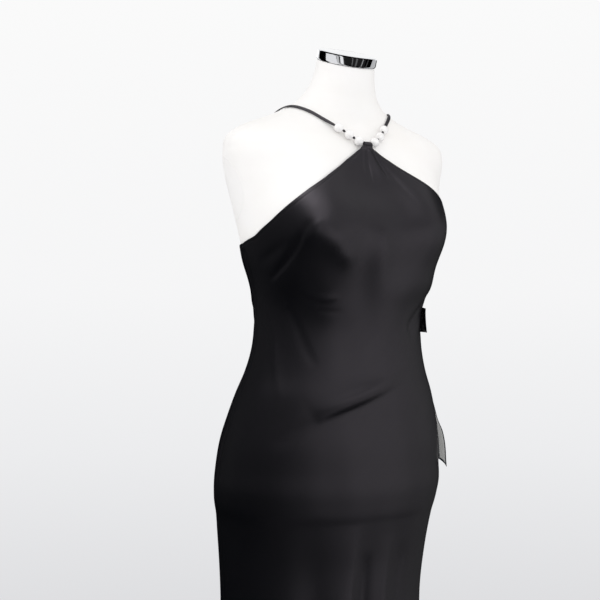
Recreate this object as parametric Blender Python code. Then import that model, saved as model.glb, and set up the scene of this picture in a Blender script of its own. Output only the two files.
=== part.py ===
"""Halter gown in satin on a dress form.

The gown's front faces -Y, its wearer's left is +X and the floor is z = 0. The origin is the
middle of the whole outline, on the floor. All lengths are metres.
"""

import math

import bmesh
import bpy
import numpy as np
from mathutils import Vector
from mathutils.bvhtree import BVHTree

# Driving sizes. Angles are degrees round the Z axis: the front is 0 and the wearer's left 90.
MODEL_SHIFT = (0.0034, -0.0384, 0.0)    # moves the middle of the outline onto the origin
ROOT_NAME = "halter_gown_root"
SMOOTH_UNDER_DEG = 40.0
SEAM_GAP = 0.0003                   # between two pieces that are sewn or seated together
CLOTH_WALL = 0.0016
CLOTH_CLEARANCE = 0.0016            # from the form to the inside of the gown
HEM_HEIGHT = 0.035
SIDE_SEAM_DEG = 97.0                # the side seams lie a little behind the widest line
APEX_X = 0.003                      # the neck point sits a hair to the wearer's left

# The form from its lower edge to the top of its neck.
FORM_COLUMNS = ("height", "centre_x", "centre_y", "half_width", "front", "back", "square", "tilt")
FORM = np.array([
    [0.792, 0.001, 0.036, 0.174, 0.123, 0.128, 2.30, 0.0],
    [0.800, 0.001, 0.036, 0.186, 0.138, 0.138, 2.30, 0.0],
    [0.822, 0.002, 0.036, 0.194, 0.1455, 0.145, 2.30, 0.0],
    [0.860, 0.002, 0.034, 0.1955, 0.1495, 0.146, 2.30, 0.0],
    [0.900, 0.002, 0.027, 0.191, 0.145, 0.144, 2.30, 0.0],
    [0.940, 0.001, 0.018, 0.182, 0.137, 0.139, 2.25, 0.0],
    [0.980, 0.000, 0.011, 0.170, 0.131, 0.129, 2.25, 0.0],
    [1.020, 0.000, 0.006, 0.156, 0.124, 0.119, 2.20, 0.0],
    [1.070, 0.000, 0.001, 0.145, 0.118, 0.110, 2.20, 0.0],
    [1.120, 0.000, 0.000, 0.144, 0.118, 0.109, 2.20, 0.0],
    [1.180, 0.000, -0.002, 0.155, 0.121, 0.121, 2.20, 0.0],
    [1.230, 0.000, -0.001, 0.167, 0.121, 0.133, 2.20, 0.0],
    [1.270, 0.000, 0.000, 0.176, 0.114, 0.137, 2.25, 0.0],
    [1.310, 0.000, 0.002, 0.186, 0.105, 0.135, 2.30, 0.0],
    [1.350, 0.000, 0.002, 0.197, 0.096, 0.127, 2.40, 0.0],
    [1.385, 0.000, 0.000, 0.204, 0.087, 0.114, 2.40, 0.0],
    [1.412, 0.000, 0.002, 0.198, 0.081, 0.099, 2.30, 3.0],
    [1.430, 0.000, 0.004, 0.170, 0.076, 0.084, 2.20, 6.0],
    [1.447, 0.000, 0.002, 0.124, 0.071, 0.074, 2.10, 9.0],
    [1.465, 0.000, -0.006, 0.086, 0.064, 0.066, 2.00, 12.0],
    [1.487, 0.000, -0.015, 0.063, 0.057, 0.059, 2.00, 15.0],
    [1.512, 0.000, -0.023, 0.053, 0.053, 0.053, 2.00, 18.0],
    [1.539, 0.000, -0.030, 0.049, 0.049, 0.049, 2.00, 20.0],
])
BUST = {"x": 0.094, "height": 1.261, "out": 0.049, "wide": 0.066, "above": 0.088,
        "below": 0.075, "aside": 0.32, "fade_from": -0.15, "fade_by": 1.6}

# The skirt below the form, which hangs from the seat and draws in a little at the front.
SKIRT = np.array([
    [0.030, -0.006, 0.047, 0.224, 0.172, 0.184, 2.10, 0.0],
    [0.200, -0.006, 0.047, 0.202, 0.152, 0.162, 2.10, 0.0],
    [0.400, -0.006, 0.048, 0.184, 0.135, 0.142, 2.15, 0.0],
    [0.560, -0.005, 0.049, 0.177, 0.129, 0.134, 2.20, 0.0],
    [0.640, -0.004, 0.049, 0.178, 0.131, 0.134, 2.20, 0.0],
    [0.700, -0.002, 0.048, 0.182, 0.1360, 0.135, 2.25, 0.0],
    [0.745, -0.001, 0.046, 0.1860, 0.1425, 0.1375, 2.30, 0.0],
    [0.775, 0.000, 0.043, 0.1903, 0.1460, 0.140, 2.30, 0.0],
    [0.800, 0.001, 0.040, 0.1958, 0.1485, 0.144, 2.30, 0.0],
    [0.822, 0.002, 0.037, 0.1983, 0.1495, 0.146, 2.30, 0.0],
])
GOWN = np.vstack([SKIRT, FORM[3:16]])

# Where the cloth stands off the form in a soft swell.
EASE_COLUMNS = ("angle", "height", "angle_spread", "height_spread", "stands_off")
EASE = np.array([
    [0.0, 1.245, 20.0, 0.062, 0.022],
    [0.0, 1.345, 16.0, 0.030, 0.003],
    [3.0, 1.394, 11.0, 0.020, 0.0032],
    [-42.0, 1.172, 22.0, 0.030, 0.008],
    [60.0, 1.164, 28.0, 0.018, 0.009],
    [28.0, 1.170, 16.0, 0.030, 0.005],
    [14.0, 1.128, 26.0, 0.046, 0.0095],
    [-116.0, 1.206, 30.0, 0.022, 0.004],
    [116.0, 1.206, 26.0, 0.024, 0.004],
    [180.0, 1.110, 40.0, 0.070, 0.010],
    [38.0, 1.262, 24.0, 0.060, 0.0018],
    [-42.0, 1.264, 26.0, 0.060, 0.0032],
])

# Long soft folds of the skirt, ridges and troughs in turn.
FOLD_COLUMNS = ("angle", "angle_spread", "starts", "rises")
SKIRT_FOLDS = np.array([
    [-76.0, 11.0, 0.72, -0.004],
    [-54.0, 11.0, 0.76, 0.005],
    [-34.0, 8.0, 0.75, -0.006],
    [-13.0, 8.0, 0.77, 0.006],
    [2.0, 7.0, 0.76, -0.007],
    [17.0, 8.0, 0.77, 0.006],
    [36.0, 9.0, 0.73, -0.005],
    [58.0, 11.0, 0.74, 0.005],
    [80.0, 11.0, 0.70, -0.005],
    [104.0, 12.0, 0.72, 0.005],
    [127.0, 11.0, 0.70, -0.006],
    [150.0, 11.0, 0.74, 0.006],
    [172.0, 11.0, 0.70, -0.006],
    [-166.0, 10.0, 0.73, 0.006],
    [-146.0, 10.0, 0.71, -0.005],
    [-124.0, 11.0, 0.74, 0.006],
    [-100.0, 12.0, 0.70, -0.004],
])
FOLD_RUN = 0.34                     # a fold reaches its full height this far below its start
FOLD_DEEPENS = 0.25                 # share by which it goes on growing
FOLD_DEEPENS_OVER = 0.70

# The one long crease over the belly: both ends by angle and height, then width and depth.
BELLY_CREASE = {"from": (-40.0, 0.950), "to": (27.0, 1.004), "width": 0.009, "lip": 0.0026,
                "trough": 0.00104, "lip_above": 0.0153, "fade": 0.7}

# Top edge of the front, from the neck point down to each side seam: angle and height.
FRONT_TOP_RIGHT = np.array([
    [0.0, 1.3905], [4.0, 1.3900], [22.0, 1.3665], [36.0, 1.3425], [50.0, 1.3135],
    [60.0, 1.2895], [70.0, 1.2645], [82.0, 1.2430], [97.0, 1.2340],
])
FRONT_TOP_LEFT = np.array([
    [0.0, 1.3905], [7.0, 1.3900], [25.0, 1.3670], [35.0, 1.3505], [44.0, 1.3345],
    [52.0, 1.3190], [62.0, 1.2985], [72.0, 1.2710], [84.0, 1.2450], [97.0, 1.2340],
])
BACK_TOP = np.array([
    [97.0, 1.2340], [116.0, 1.2310], [133.0, 1.2210], [147.0, 1.2200], [162.0, 1.2000],
    [180.0, 1.1920],
])

PANEL_HIP = 0.80                    # a panel's rows lie closer together above this height
LOWER_ROWS_SPREAD = 1.15
SEAM_RADIUS = 0.150                 # mean distance of the side seams from the gown's middle

# Neck cord with its beads: distance from the neck point and height, then the strap that
# goes on over the shoulder and down the back, by x and by the direction seen from inside.
BEAD_RADIUS = 0.0079
BEAD_HOLE_RADIUS = 0.0022
BEAD_SEAT = 0.0004                  # from the form to the underside of a bead
CORD_RADIUS = 0.0013
RIGHT_BEAD_SPOTS = ((0.0152, 1.3965), (0.0306, 1.4060), (0.0458, 1.4160))
LEFT_BEAD_SPOTS = ((0.0152, 1.3955), (0.0282, 1.4055), (0.0408, 1.4182))
CORD_NARROWS = 0.004                # length over which the strap narrows to the cord
THREADED_HALF_LENGTH = 0.0056
STRAP_STEPS = 30
CASING_HALF_LENGTH = 0.0068
CASING_OUTER_RADIUS = 0.0040
CASING_WALL = 0.0011
CASING_DEG = 1.95                   # where the casing sits on the top edge of the front
STRAP_HALF_WIDTH = 0.0030
STRAP_HALF_THICKNESS = 0.0012
STRAP_SEAT = 0.0008                 # from the form to the underside of the strap
STRAP_ORIGIN_Y = 0.020
STRAP_ORIGIN_Z = 1.330
RIGHT_STRAP_TRACK = ((0.0640, 53.0), (0.0760, 59.5), (0.0855, 68.0), (0.0915, 79.0),
                     (0.0935, 89.0), (0.0955, 100.0), (0.0980, 113.0), (0.1010, 130.0),
                     (0.1035, 150.0), (0.1055, 172.0), (0.1070, 192.0), (0.1080, 208.0),
                     (0.1085, 219.0))
LEFT_STRAP_TRACK = ((0.0590, 52.0), (0.0705, 58.5), (0.0840, 68.0), (0.0970, 79.0),
                    (0.1080, 90.0), (0.1130, 101.0), (0.1140, 113.0), (0.1160, 130.0),
                    (0.1160, 150.0), (0.1140, 172.0), (0.1110, 192.0), (0.1095, 208.0),
                    (0.1085, 219.0))
STRAP_END_DEG = 140.0
STRAP_END_LIFT = 0.0016             # middle of the strap end over the edge it is sewn to

# Tie ends in the left side seam. Each row is the height, angle and stand-off of the strip's
# rear edge, then the same of its front edge.
TIE_WALL = 0.0012
TIE_LEAST_OFF = 0.0004
TIE_SHORT = np.array([
    [1.1270, 79.0, 0.0004, 1.1255, 62.0, 0.0050],
    [1.1160, 79.5, 0.0008, 1.1145, 61.5, 0.0066],
    [1.1050, 80.0, 0.0014, 1.1040, 61.0, 0.0080],
    [1.0930, 80.5, 0.0020, 1.0930, 61.0, 0.0092],
    [1.0820, 81.0, 0.0026, 1.0820, 61.0, 0.0102],
])
TIE_LONG = np.array([
    [1.1270, 96.0, 0.0004, 1.1270, 83.0, 0.0004],
    [1.0900, 95.0, 0.0016, 1.0900, 83.0, 0.0028],
    [1.0500, 93.0, 0.0020, 1.0500, 80.0, 0.0020],
    [1.0000, 90.0, 0.0020, 1.0000, 77.0, 0.0010],
    [0.9600, 85.0, 0.0020, 0.9580, 72.0, 0.0004],
    [0.9300, 80.0, 0.0024, 0.9300, 66.5, 0.0012],
    [0.9060, 77.5, 0.0030, 0.9080, 64.0, 0.0070],
    [0.8800, 76.5, 0.0036, 0.8780, 63.0, 0.0108],
    [0.8540, 76.0, 0.0044, 0.8465, 63.0, 0.0122],
])

# Neck cap and stand of the form, each turned: radius and height.
NECK_CAP_PROFILE = ((0.0480, 0.0), (0.0500, 0.0008), (0.0505, 0.0022), (0.0508, 0.0150),
                    (0.0500, 0.0164), (0.0485, 0.0170))
POLE_Y = 0.040
POLE_PROFILE = ((0.0125, 0.0313), (0.0125, 0.7600))
FLANGE_PROFILE = ((0.0140, 0.7603), (0.0290, 0.7660), (0.0300, 0.7680), (0.0300, 0.7917))
BASE_PROFILE = ((0.1500, 0.0), (0.1550, 0.0030), (0.1550, 0.0090), (0.1520, 0.0120),
                (0.0280, 0.0150))
COLLAR_PROFILE = ((0.0240, 0.0153), (0.0240, 0.0292), (0.0222, 0.0310))
STAND_PARTS = (("stand_pole", POLE_PROFILE, 28), ("stand_flange", FLANGE_PROFILE, 28),
               ("stand_collar", COLLAR_PROFILE, 28), ("stand_base", BASE_PROFILE, 40))

BLACK_SATIN = {"colour": (0.012, 0.012, 0.014), "metallic": 0.0, "roughness": 0.38, "sheen": 0.15}
PEARL = {"colour": (0.83, 0.82, 0.78), "metallic": 0.0, "roughness": 0.22, "sheen": 0.0}
FORM_COVER = {"colour": (0.86, 0.84, 0.81), "metallic": 0.0, "roughness": 0.85, "sheen": 0.0}
CHROME = {"colour": (0.80, 0.80, 0.82), "metallic": 1.0, "roughness": 0.12, "sheen": 0.0}

FORM_RING_POINTS = 52
FORM_HEIGHTS = np.concatenate([
    [0.792, 0.796, 0.803, 0.814, 0.836],
    np.linspace(0.866, 1.360, 17),
    [1.378, 1.394, 1.407, 1.418, 1.427, 1.435, 1.443, 1.451, 1.460, 1.471, 1.485, 1.502,
     1.520, 1.539],
])


def clear_scene():
    """Take every object out of the file that opens."""
    for item in list(bpy.data.objects):
        bpy.data.objects.remove(item, do_unlink=True)


def row_at(table, height):
    """Columns of a table at any height, on a smooth curve through its rows."""
    heights = table[:, 0]
    slopes = np.gradient(table[:, 1:], heights, axis=0)
    low = np.clip(np.searchsorted(heights, height) - 1, 0, len(heights) - 2)
    step = heights[low + 1] - heights[low]
    u = np.clip((height - heights[low]) / step, 0.0, 1.0)[..., None]
    step = step[..., None]
    start, end = table[low, 1:], table[low + 1, 1:]
    return ((2 * u**3 - 3 * u**2 + 1) * start + (u**3 - 2 * u**2 + u) * step * slopes[low]
            + (3 * u**2 - 2 * u**3) * end + (u**3 - u**2) * step * slopes[low + 1])


def section_point(table, angle, height):
    """Point of a sectioned body at an angle in degrees and a height."""
    angle = np.asarray(angle, float) + 0.0 * np.asarray(height, float)
    height = np.asarray(height, float) + 0.0 * angle
    row = dict(zip(FORM_COLUMNS[1:], np.moveaxis(row_at(table, height), -1, 0)))
    side = np.sin(np.radians(angle))
    ahead = np.cos(np.radians(angle))
    depth = np.where(ahead > 0.0, row["front"], row["back"])
    power = row["square"]
    reach = (np.abs(side / row["half_width"])**power + np.abs(ahead / depth)**power)**(-1 / power)
    x = reach * side
    y = -reach * ahead
    rise = height - BUST["height"]
    spread = np.where(rise > 0.0, BUST["above"], BUST["below"])
    facing = np.clip((ahead - BUST["fade_from"]) * BUST["fade_by"], 0.0, 1.0)
    base_x = x.copy()
    for sign in (-1.0, 1.0):
        swell = np.exp(-((base_x - sign * BUST["x"]) / BUST["wide"])**2 - (rise / spread)**2)
        swell = swell * facing * BUST["out"]
        y = y - swell
        x = x + sign * BUST["aside"] * swell
    lean = np.radians(row["tilt"])
    return np.stack([row["centre_x"] + x, row["centre_y"] + y * np.cos(lean),
                     height + y * np.sin(lean)], -1)


def surface_normal(table, angle, height):
    """Unit outward direction of a sectioned body."""
    turn, lift = 0.4, 0.0015
    across = section_point(table, angle + turn, height) - section_point(table, angle - turn, height)
    up = section_point(table, angle, height + lift) - section_point(table, angle, height - lift)
    normal = np.cross(across, up)
    return normal / np.linalg.norm(normal, axis=-1, keepdims=True)


def angle_between(angle, other):
    """Difference of two directions in degrees, within half a turn."""
    return (angle - other + 180.0) % 360.0 - 180.0


def stand_off(angle, height):
    """How far the inside of the gown is from its smooth section."""
    total = np.full(np.shape(angle), CLOTH_CLEARANCE)
    for values in EASE:
        swell = dict(zip(EASE_COLUMNS, values))
        around = angle_between(angle, swell["angle"]) / swell["angle_spread"]
        above = (height - swell["height"]) / swell["height_spread"]
        total = total + swell["stands_off"] * np.exp(-around**2 - above**2)
    for values in SKIRT_FOLDS:
        fold = dict(zip(FOLD_COLUMNS, values))
        around = angle_between(angle, fold["angle"]) / fold["angle_spread"]
        grown = np.clip((fold["starts"] - height) / FOLD_RUN, 0.0, 1.0)
        grown = grown * grown * (3.0 - 2.0 * grown)
        grown = grown + FOLD_DEEPENS * np.clip((fold["starts"] - height) / FOLD_DEEPENS_OVER, 0.0, 1.0)
        total = total + fold["rises"] * grown * np.exp(-around**2)
    return total + belly_crease(angle, height)


def belly_crease(angle, height):
    """Depth of the slanting crease over the belly, a shallow trough with a lip above it."""
    (first, low), (last, high) = BELLY_CREASE["from"], BELLY_CREASE["to"]
    along = (angle - first) / (last - first)
    line = low + (high - low) * along
    fade = np.clip(np.sin(np.pi * np.clip(along, 0.0, 1.0)), 0.0, 1.0)**BELLY_CREASE["fade"]
    width = BELLY_CREASE["width"]
    trough = BELLY_CREASE["trough"] * np.exp(-((height - line) / width)**2)
    lip = BELLY_CREASE["lip"] * np.exp(-((height - line - BELLY_CREASE["lip_above"]) / width)**2)
    return fade * (lip - trough)


def gown_point(angle, height, out=0.0):
    """Point of the gown's inner face, moved out by a further length or lengths."""
    angle = np.asarray(angle, float)
    height = np.asarray(height, float)
    base = section_point(GOWN, angle, height)
    normal = surface_normal(GOWN, angle, height)
    return base + normal * (stand_off(angle, height) + np.asarray(out))[..., None]


def add_object(name, points, faces, look):
    """Make one closed object from points and faces, with its own material of one look.

    Its origin is the middle of its foot, and the root empty carries it.
    """
    mesh = bpy.data.meshes.new(name)
    points = np.asarray(points)
    foot = 0.5 * (points.min(axis=0) + points.max(axis=0))
    foot[2] = points[:, 2].min()
    mesh.from_pydata([tuple(map(float, point - foot)) for point in points], [], faces)
    shape = bmesh.new()
    shape.from_mesh(mesh)
    bmesh.ops.recalc_face_normals(shape, faces=shape.faces)
    if shape.calc_volume(signed=True) < 0.0:
        bmesh.ops.reverse_faces(shape, faces=shape.faces)
    shape.to_mesh(mesh)
    shape.free()
    mesh.shade_smooth()
    mesh.set_sharp_from_angle(angle=math.radians(SMOOTH_UNDER_DEG))
    item = bpy.data.objects.new(name, mesh)
    bpy.context.collection.objects.link(item)
    item.parent = bpy.data.objects[ROOT_NAME]
    item.location = Vector(foot)
    material = bpy.data.materials.new(name + "_material")
    material.use_nodes = True
    shader = material.node_tree.nodes["Principled BSDF"]
    shader.inputs["Base Color"].default_value = (*look["colour"], 1.0)
    shader.inputs["Metallic"].default_value = look["metallic"]
    shader.inputs["Roughness"].default_value = look["roughness"]
    shader.inputs["Sheen Weight"].default_value = look["sheen"]
    mesh.materials.append(material)
    return item


def rings_to_solid(rings):
    """Points and faces of a body through closed rings, with a flat face at each end."""
    rings = np.asarray(rings)
    count, around = rings.shape[:2]
    faces = []
    for ring in range(count - 1):
        for spot in range(around):
            turn = (spot + 1) % around
            faces.append((ring * around + spot, ring * around + turn,
                          (ring + 1) * around + turn, (ring + 1) * around + spot))
    faces.append(tuple(range(around)))
    faces.append(tuple((count - 1) * around + spot for spot in range(around)))
    return rings.reshape(-1, 3), faces


def rings_to_loop(rings):
    """Points and faces of a body whose last ring joins its first."""
    rings = np.asarray(rings)
    count, around = rings.shape[:2]
    faces = []
    for ring in range(count):
        after = (ring + 1) % count
        for spot in range(around):
            turn = (spot + 1) % around
            faces.append((ring * around + spot, ring * around + turn,
                          after * around + turn, after * around + spot))
    return rings.reshape(-1, 3), faces


def sheet_to_solid(outer, inner):
    """Points and faces of a cloth piece from the grids of its two faces."""
    rows, columns = outer.shape[:2]
    size = rows * columns
    faces = []

    def spot(row, column):
        return row * columns + column

    for row in range(rows - 1):
        for column in range(columns - 1):
            quad = (spot(row, column), spot(row, column + 1),
                    spot(row + 1, column + 1), spot(row + 1, column))
            faces.append(quad)
            faces.append(tuple(size + corner for corner in reversed(quad)))
    border = [spot(0, column) for column in range(columns)]
    border += [spot(row, columns - 1) for row in range(1, rows)]
    border += [spot(rows - 1, column) for column in range(columns - 2, -1, -1)]
    border += [spot(row, 0) for row in range(rows - 2, 0, -1)]
    for first, second in zip(border, border[1:] + border[:1]):
        faces.append((second, first, size + first, size + second))
    return np.concatenate([outer.reshape(-1, 3), inner.reshape(-1, 3)]), faces


def turned_rings(profile, around):
    """Rings of a turned body about the Z axis."""
    turn = np.linspace(0.0, 2.0 * math.pi, around, endpoint=False)
    return np.array([[(radius * math.cos(a), radius * math.sin(a), height) for a in turn]
                     for radius, height in profile])


def build_form():
    """The form's body, its neck cap and its stand; gives back the body's surface."""
    turn = np.linspace(-180.0, 180.0, FORM_RING_POINTS, endpoint=False)
    rings = np.array([section_point(FORM, turn, np.full_like(turn, height))
                      for height in FORM_HEIGHTS])
    body_points, body_faces = rings_to_solid(rings)
    add_object("form_body", body_points, body_faces, FORM_COVER)

    top = FORM[-1]
    lean = math.radians(top[7])
    cap = turned_rings(NECK_CAP_PROFILE, 36)
    cap[..., 2] += SEAM_GAP
    tilted = cap @ np.array([[1.0, 0.0, 0.0],
                             [0.0, math.cos(lean), math.sin(lean)],
                             [0.0, -math.sin(lean), math.cos(lean)]])
    tilted += np.array([top[1], top[2], top[0]])
    points, faces = rings_to_solid(tilted)
    add_object("neck_cap", points, faces, CHROME)

    for name, profile, around in STAND_PARTS:
        rings = turned_rings(profile, around)
        rings[..., 1] += POLE_Y
        points, faces = rings_to_solid(rings)
        add_object(name, points, faces, CHROME)
    corners = [Vector(tuple(map(float, point))) for point in body_points]
    return BVHTree.FromPolygons(corners, body_faces)


def front_top(angle):
    """Height of the front's top edge at each angle."""
    right = np.interp(-angle, FRONT_TOP_RIGHT[:, 0], FRONT_TOP_RIGHT[:, 1])
    left = np.interp(angle, FRONT_TOP_LEFT[:, 0], FRONT_TOP_LEFT[:, 1])
    return np.where(angle < 0.0, right, left)


def panel_heights(top, count_upper, count_lower):
    """Heights of a panel's rows under its top edge, closer together above the hip."""
    upper = np.linspace(0.0, 1.0, count_upper)
    lower = np.linspace(0.0, 1.0, count_lower + 1)[1:]**LOWER_ROWS_SPREAD
    rows = [top + (PANEL_HIP - top) * part for part in upper]
    rows += [np.full_like(top, PANEL_HIP + (HEM_HEIGHT - PANEL_HIP) * part) for part in lower]
    return np.array(rows)


def build_panel(name, angles, top, count_upper, count_lower):
    """One panel of the gown, from its top edge to the hem."""
    heights = panel_heights(top, count_upper, count_lower)
    grid = np.broadcast_to(angles, heights.shape)
    inner = gown_point(grid, heights)
    outer = gown_point(grid, heights, CLOTH_WALL)
    points, faces = sheet_to_solid(outer, inner)
    return add_object(name, points, faces, BLACK_SATIN)


def build_panels():
    """Front and back panels, half a seam gap short of each side seam."""
    gap = math.degrees(0.5 * SEAM_GAP / SEAM_RADIUS)
    edge = SIDE_SEAM_DEG - gap
    close = np.array([-24.0, -19.5, -15.5, -12.0, -8.5, -5.0, -2.0, 1.0, 4.0, 7.0, 10.5, 14.0,
                      18.0, 22.0, 27.0])
    right = np.linspace(-edge, -24.0, 12)[:-1]
    left = np.linspace(27.0, edge, 12)[1:]
    angles = np.concatenate([right, close, left])
    build_panel("front_panel", angles, front_top(angles), 27, 10)

    angles = np.linspace(SIDE_SEAM_DEG + gap, 360.0 - SIDE_SEAM_DEG - gap, 25)
    mirrored = 180.0 - np.abs(180.0 - angles)
    top = np.interp(mirrored, BACK_TOP[:, 0], BACK_TOP[:, 1])
    build_panel("back_panel", angles, top, 16, 10)


def build_tie(name, table, rows, columns):
    """One tie end of the side seam, a strip that lies over the gown."""
    level = np.linspace(0.0, len(table) - 1.0, rows)
    knots = np.arange(len(table), dtype=float)
    slopes = np.gradient(table, knots, axis=0)
    low = np.clip(level.astype(int), 0, len(table) - 2)
    u = (level - low)[:, None]
    edges = ((2 * u**3 - 3 * u**2 + 1) * table[low] + (u**3 - 2 * u**2 + u) * slopes[low]
             + (3 * u**2 - 2 * u**3) * table[low + 1] + (u**3 - u**2) * slopes[low + 1])
    share = np.linspace(0.0, 1.0, columns)[None, :]
    height, angle, off = (edges[:, [part]] * (1.0 - share) + edges[:, [part + 3]] * share
                          for part in range(3))
    inner = gown_point(angle, height, CLOTH_WALL + SEAM_GAP + np.maximum(off, TIE_LEAST_OFF))
    outward = surface_normal(GOWN, angle, height)
    points, faces = sheet_to_solid(inner + outward * TIE_WALL, inner)
    add_object(name, points, faces, BLACK_SATIN)


def surface_hit(tree, origin, direction):
    """Where a line from inside leaves the form, and the outward direction there."""
    place, normal, _, _ = tree.ray_cast(Vector(origin), Vector(direction))
    if place is None:
        raise RuntimeError("a strap point misses the form")
    normal = np.array(normal)
    if np.dot(normal, direction) < 0.0:
        normal = -normal
    return np.array(place), normal


def path_length(points):
    """Length along some points up to each of them."""
    steps = np.linalg.norm(np.diff(points, axis=0), axis=1)
    return np.concatenate([[0.0], np.cumsum(steps)])


def smooth_path(points, wanted):
    """Points at the wanted lengths along a smooth curve through some points."""
    along = path_length(points)
    slopes = np.gradient(points, along, axis=0)
    low = np.clip(np.searchsorted(along, wanted) - 1, 0, len(along) - 2)
    step = (along[low + 1] - along[low])[:, None]
    u = (wanted[:, None] - along[low][:, None]) / step
    return ((2 * u**3 - 3 * u**2 + 1) * points[low] + (u**3 - 2 * u**2 + u) * step * slopes[low]
            + (3 * u**2 - 2 * u**3) * points[low + 1] + (u**3 - u**2) * step * slopes[low + 1])


def casing_spot():
    """Middle of the casing, seated on the top edge of the front, and the outward direction."""
    angle = np.array([CASING_DEG, CASING_DEG])
    level = np.array([FRONT_TOP_LEFT[0, 1], FRONT_TOP_LEFT[0, 1] - 0.004])
    edge, under = gown_point(angle, level, 0.5 * CLOTH_WALL)
    lift = (edge - under) / np.linalg.norm(edge - under)
    place = edge + lift * (CASING_OUTER_RADIUS + 1.5 * SEAM_GAP)
    return place, surface_normal(GOWN, angle, level)[0]


def lifted(tree, place, least):
    """A place moved out of the form until it is at least so far from its surface."""
    near, normal, _, _ = tree.find_nearest(Vector(place))
    near, normal = np.array(near), np.array(normal)
    height = float(np.dot(place - near, normal))
    return place + normal * max(least - height, 0.0)


def neck_spot(tree, side, across, height, out):
    """Point of the neck cord in front of the form, with the outward direction."""
    x = APEX_X + side * across
    place, normal = surface_hit(tree, (x, 0.0, height), (0.0, -1.0, 0.0))
    return place + normal * out, normal


def strap_points(tree, side):
    """Centre points and outward directions of one side of the halter strap."""
    spots = []
    for x, turn in LEFT_STRAP_TRACK if side > 0.0 else RIGHT_STRAP_TRACK:
        reach = math.radians(turn)
        origin = (side * x, STRAP_ORIGIN_Y, STRAP_ORIGIN_Z)
        place, normal = surface_hit(tree, origin, (0.0, -math.cos(reach), math.sin(reach)))
        spots.append((place + normal * (STRAP_HALF_THICKNESS + STRAP_SEAT), normal))
    top = np.interp(STRAP_END_DEG, BACK_TOP[:, 0], BACK_TOP[:, 1]) + STRAP_END_LIFT
    angle, level = np.array([side * STRAP_END_DEG]), np.array([top])
    place = gown_point(angle, level, 0.5 * CLOTH_WALL)[0]
    spots.append((place, surface_normal(GOWN, angle, level)[0]))
    return spots


def straight_through(before, threaded, after):
    """Three points in line for each threaded piece, so the cord is straight inside it."""
    places = [before] + threaded + [after]
    chain = []
    for spot in range(1, len(places) - 1):
        run = places[spot + 1][0] - places[spot - 1][0]
        run = run / np.linalg.norm(run) * THREADED_HALF_LENGTH
        place, normal = places[spot]
        chain += [(place - run, normal), (place, normal), (place + run, normal)]
    return chain


def build_strap(path, facing, wanted, first, last):
    """The halter strap: flat over the shoulders, a narrow cord through the beads."""
    count = len(path)
    rings = []
    for spot in range(count):
        before, after = path[max(spot - 1, 0)], path[min(spot + 1, count - 1)]
        along = (after - before) / np.linalg.norm(after - before)
        normal = facing[spot] - along * np.dot(facing[spot], along)
        normal = normal / np.linalg.norm(normal)
        across = np.cross(along, normal)
        beyond = max(first - wanted[spot], wanted[spot] - last) + CORD_NARROWS
        share = float(np.clip(beyond / CORD_NARROWS, 0.0, 1.0))
        wide = CORD_RADIUS + (STRAP_HALF_WIDTH - CORD_RADIUS) * share
        thick = CORD_RADIUS + (STRAP_HALF_THICKNESS - CORD_RADIUS) * share
        rings.append([path[spot] + across * wide * math.cos(turn) + normal * thick * math.sin(turn)
                      for turn in np.linspace(0.0, 2.0 * math.pi, 8, endpoint=False)])
    points, faces = rings_to_solid(rings)
    add_object("halter_strap", points, faces, BLACK_SATIN)


def build_neck(tree):
    """The halter strap, its six beads and the casing at the neck point."""
    out = BEAD_RADIUS + BEAD_SEAT
    threaded = [neck_spot(tree, -1.0, across, height, out)
                for across, height in RIGHT_BEAD_SPOTS[::-1]]
    threaded += [casing_spot()]
    threaded += [neck_spot(tree, 1.0, across, height, out) for across, height in LEFT_BEAD_SPOTS]
    right_strap = strap_points(tree, -1.0)[::-1]
    left_strap = strap_points(tree, 1.0)
    chain = right_strap + straight_through(right_strap[-1], threaded, left_strap[0]) + left_strap
    middle = len(right_strap) + 3 * len(RIGHT_BEAD_SPOTS) + 1
    bead_spots = [3 * number + len(right_strap) + 1 for number in range(len(threaded))]
    bead_spots.remove(middle)
    points = np.array([place for place, _ in chain])
    normals = np.array([normal for _, normal in chain])
    along = path_length(points)
    unbeaded = along[bead_spots[0]] - BEAD_RADIUS - CORD_NARROWS
    beaded = along[bead_spots[-1]] + BEAD_RADIUS + CORD_NARROWS
    ends = along[bead_spots[0] - 1:bead_spots[-1] + 2]
    threaded_part = np.sort(np.concatenate([ends, 0.5 * (ends[1:] + ends[:-1])]))
    wanted = np.concatenate([np.linspace(0.0, unbeaded, STRAP_STEPS), threaded_part,
                             np.linspace(beaded, along[-1], STRAP_STEPS)])
    path = smooth_path(points, wanted)
    straight = np.array([np.interp(wanted, along, points[:, part]) for part in range(3)]).T
    inside = (wanted >= ends[0]) & (wanted <= ends[-1])
    path[inside] = straight[inside]
    for spot in np.nonzero(~inside)[0]:
        path[spot] = lifted(tree, path[spot], STRAP_HALF_THICKNESS + STRAP_SEAT)
    facing = np.array([np.interp(wanted, along, normals[:, part]) for part in range(3)]).T
    build_strap(path, facing, wanted, unbeaded, beaded)

    names = ("right_outer", "right_middle", "right_inner", "left_inner", "left_middle", "left_outer")
    for name, spot in zip(names, bead_spots):
        run = points[spot + 1] - points[spot - 1]
        build_bead("bead_" + name, points[spot], run / np.linalg.norm(run))
    build_casing(points[middle], points[middle + 1] - points[middle - 1])


def bead_profile():
    """Outline of a drilled bead: radius and height, closed on itself."""
    edge = math.asin(BEAD_HOLE_RADIUS / BEAD_RADIUS)
    turns = np.linspace(edge, math.pi - edge, 10)
    return [(BEAD_RADIUS * math.sin(turn), -BEAD_RADIUS * math.cos(turn)) for turn in turns]


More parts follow.
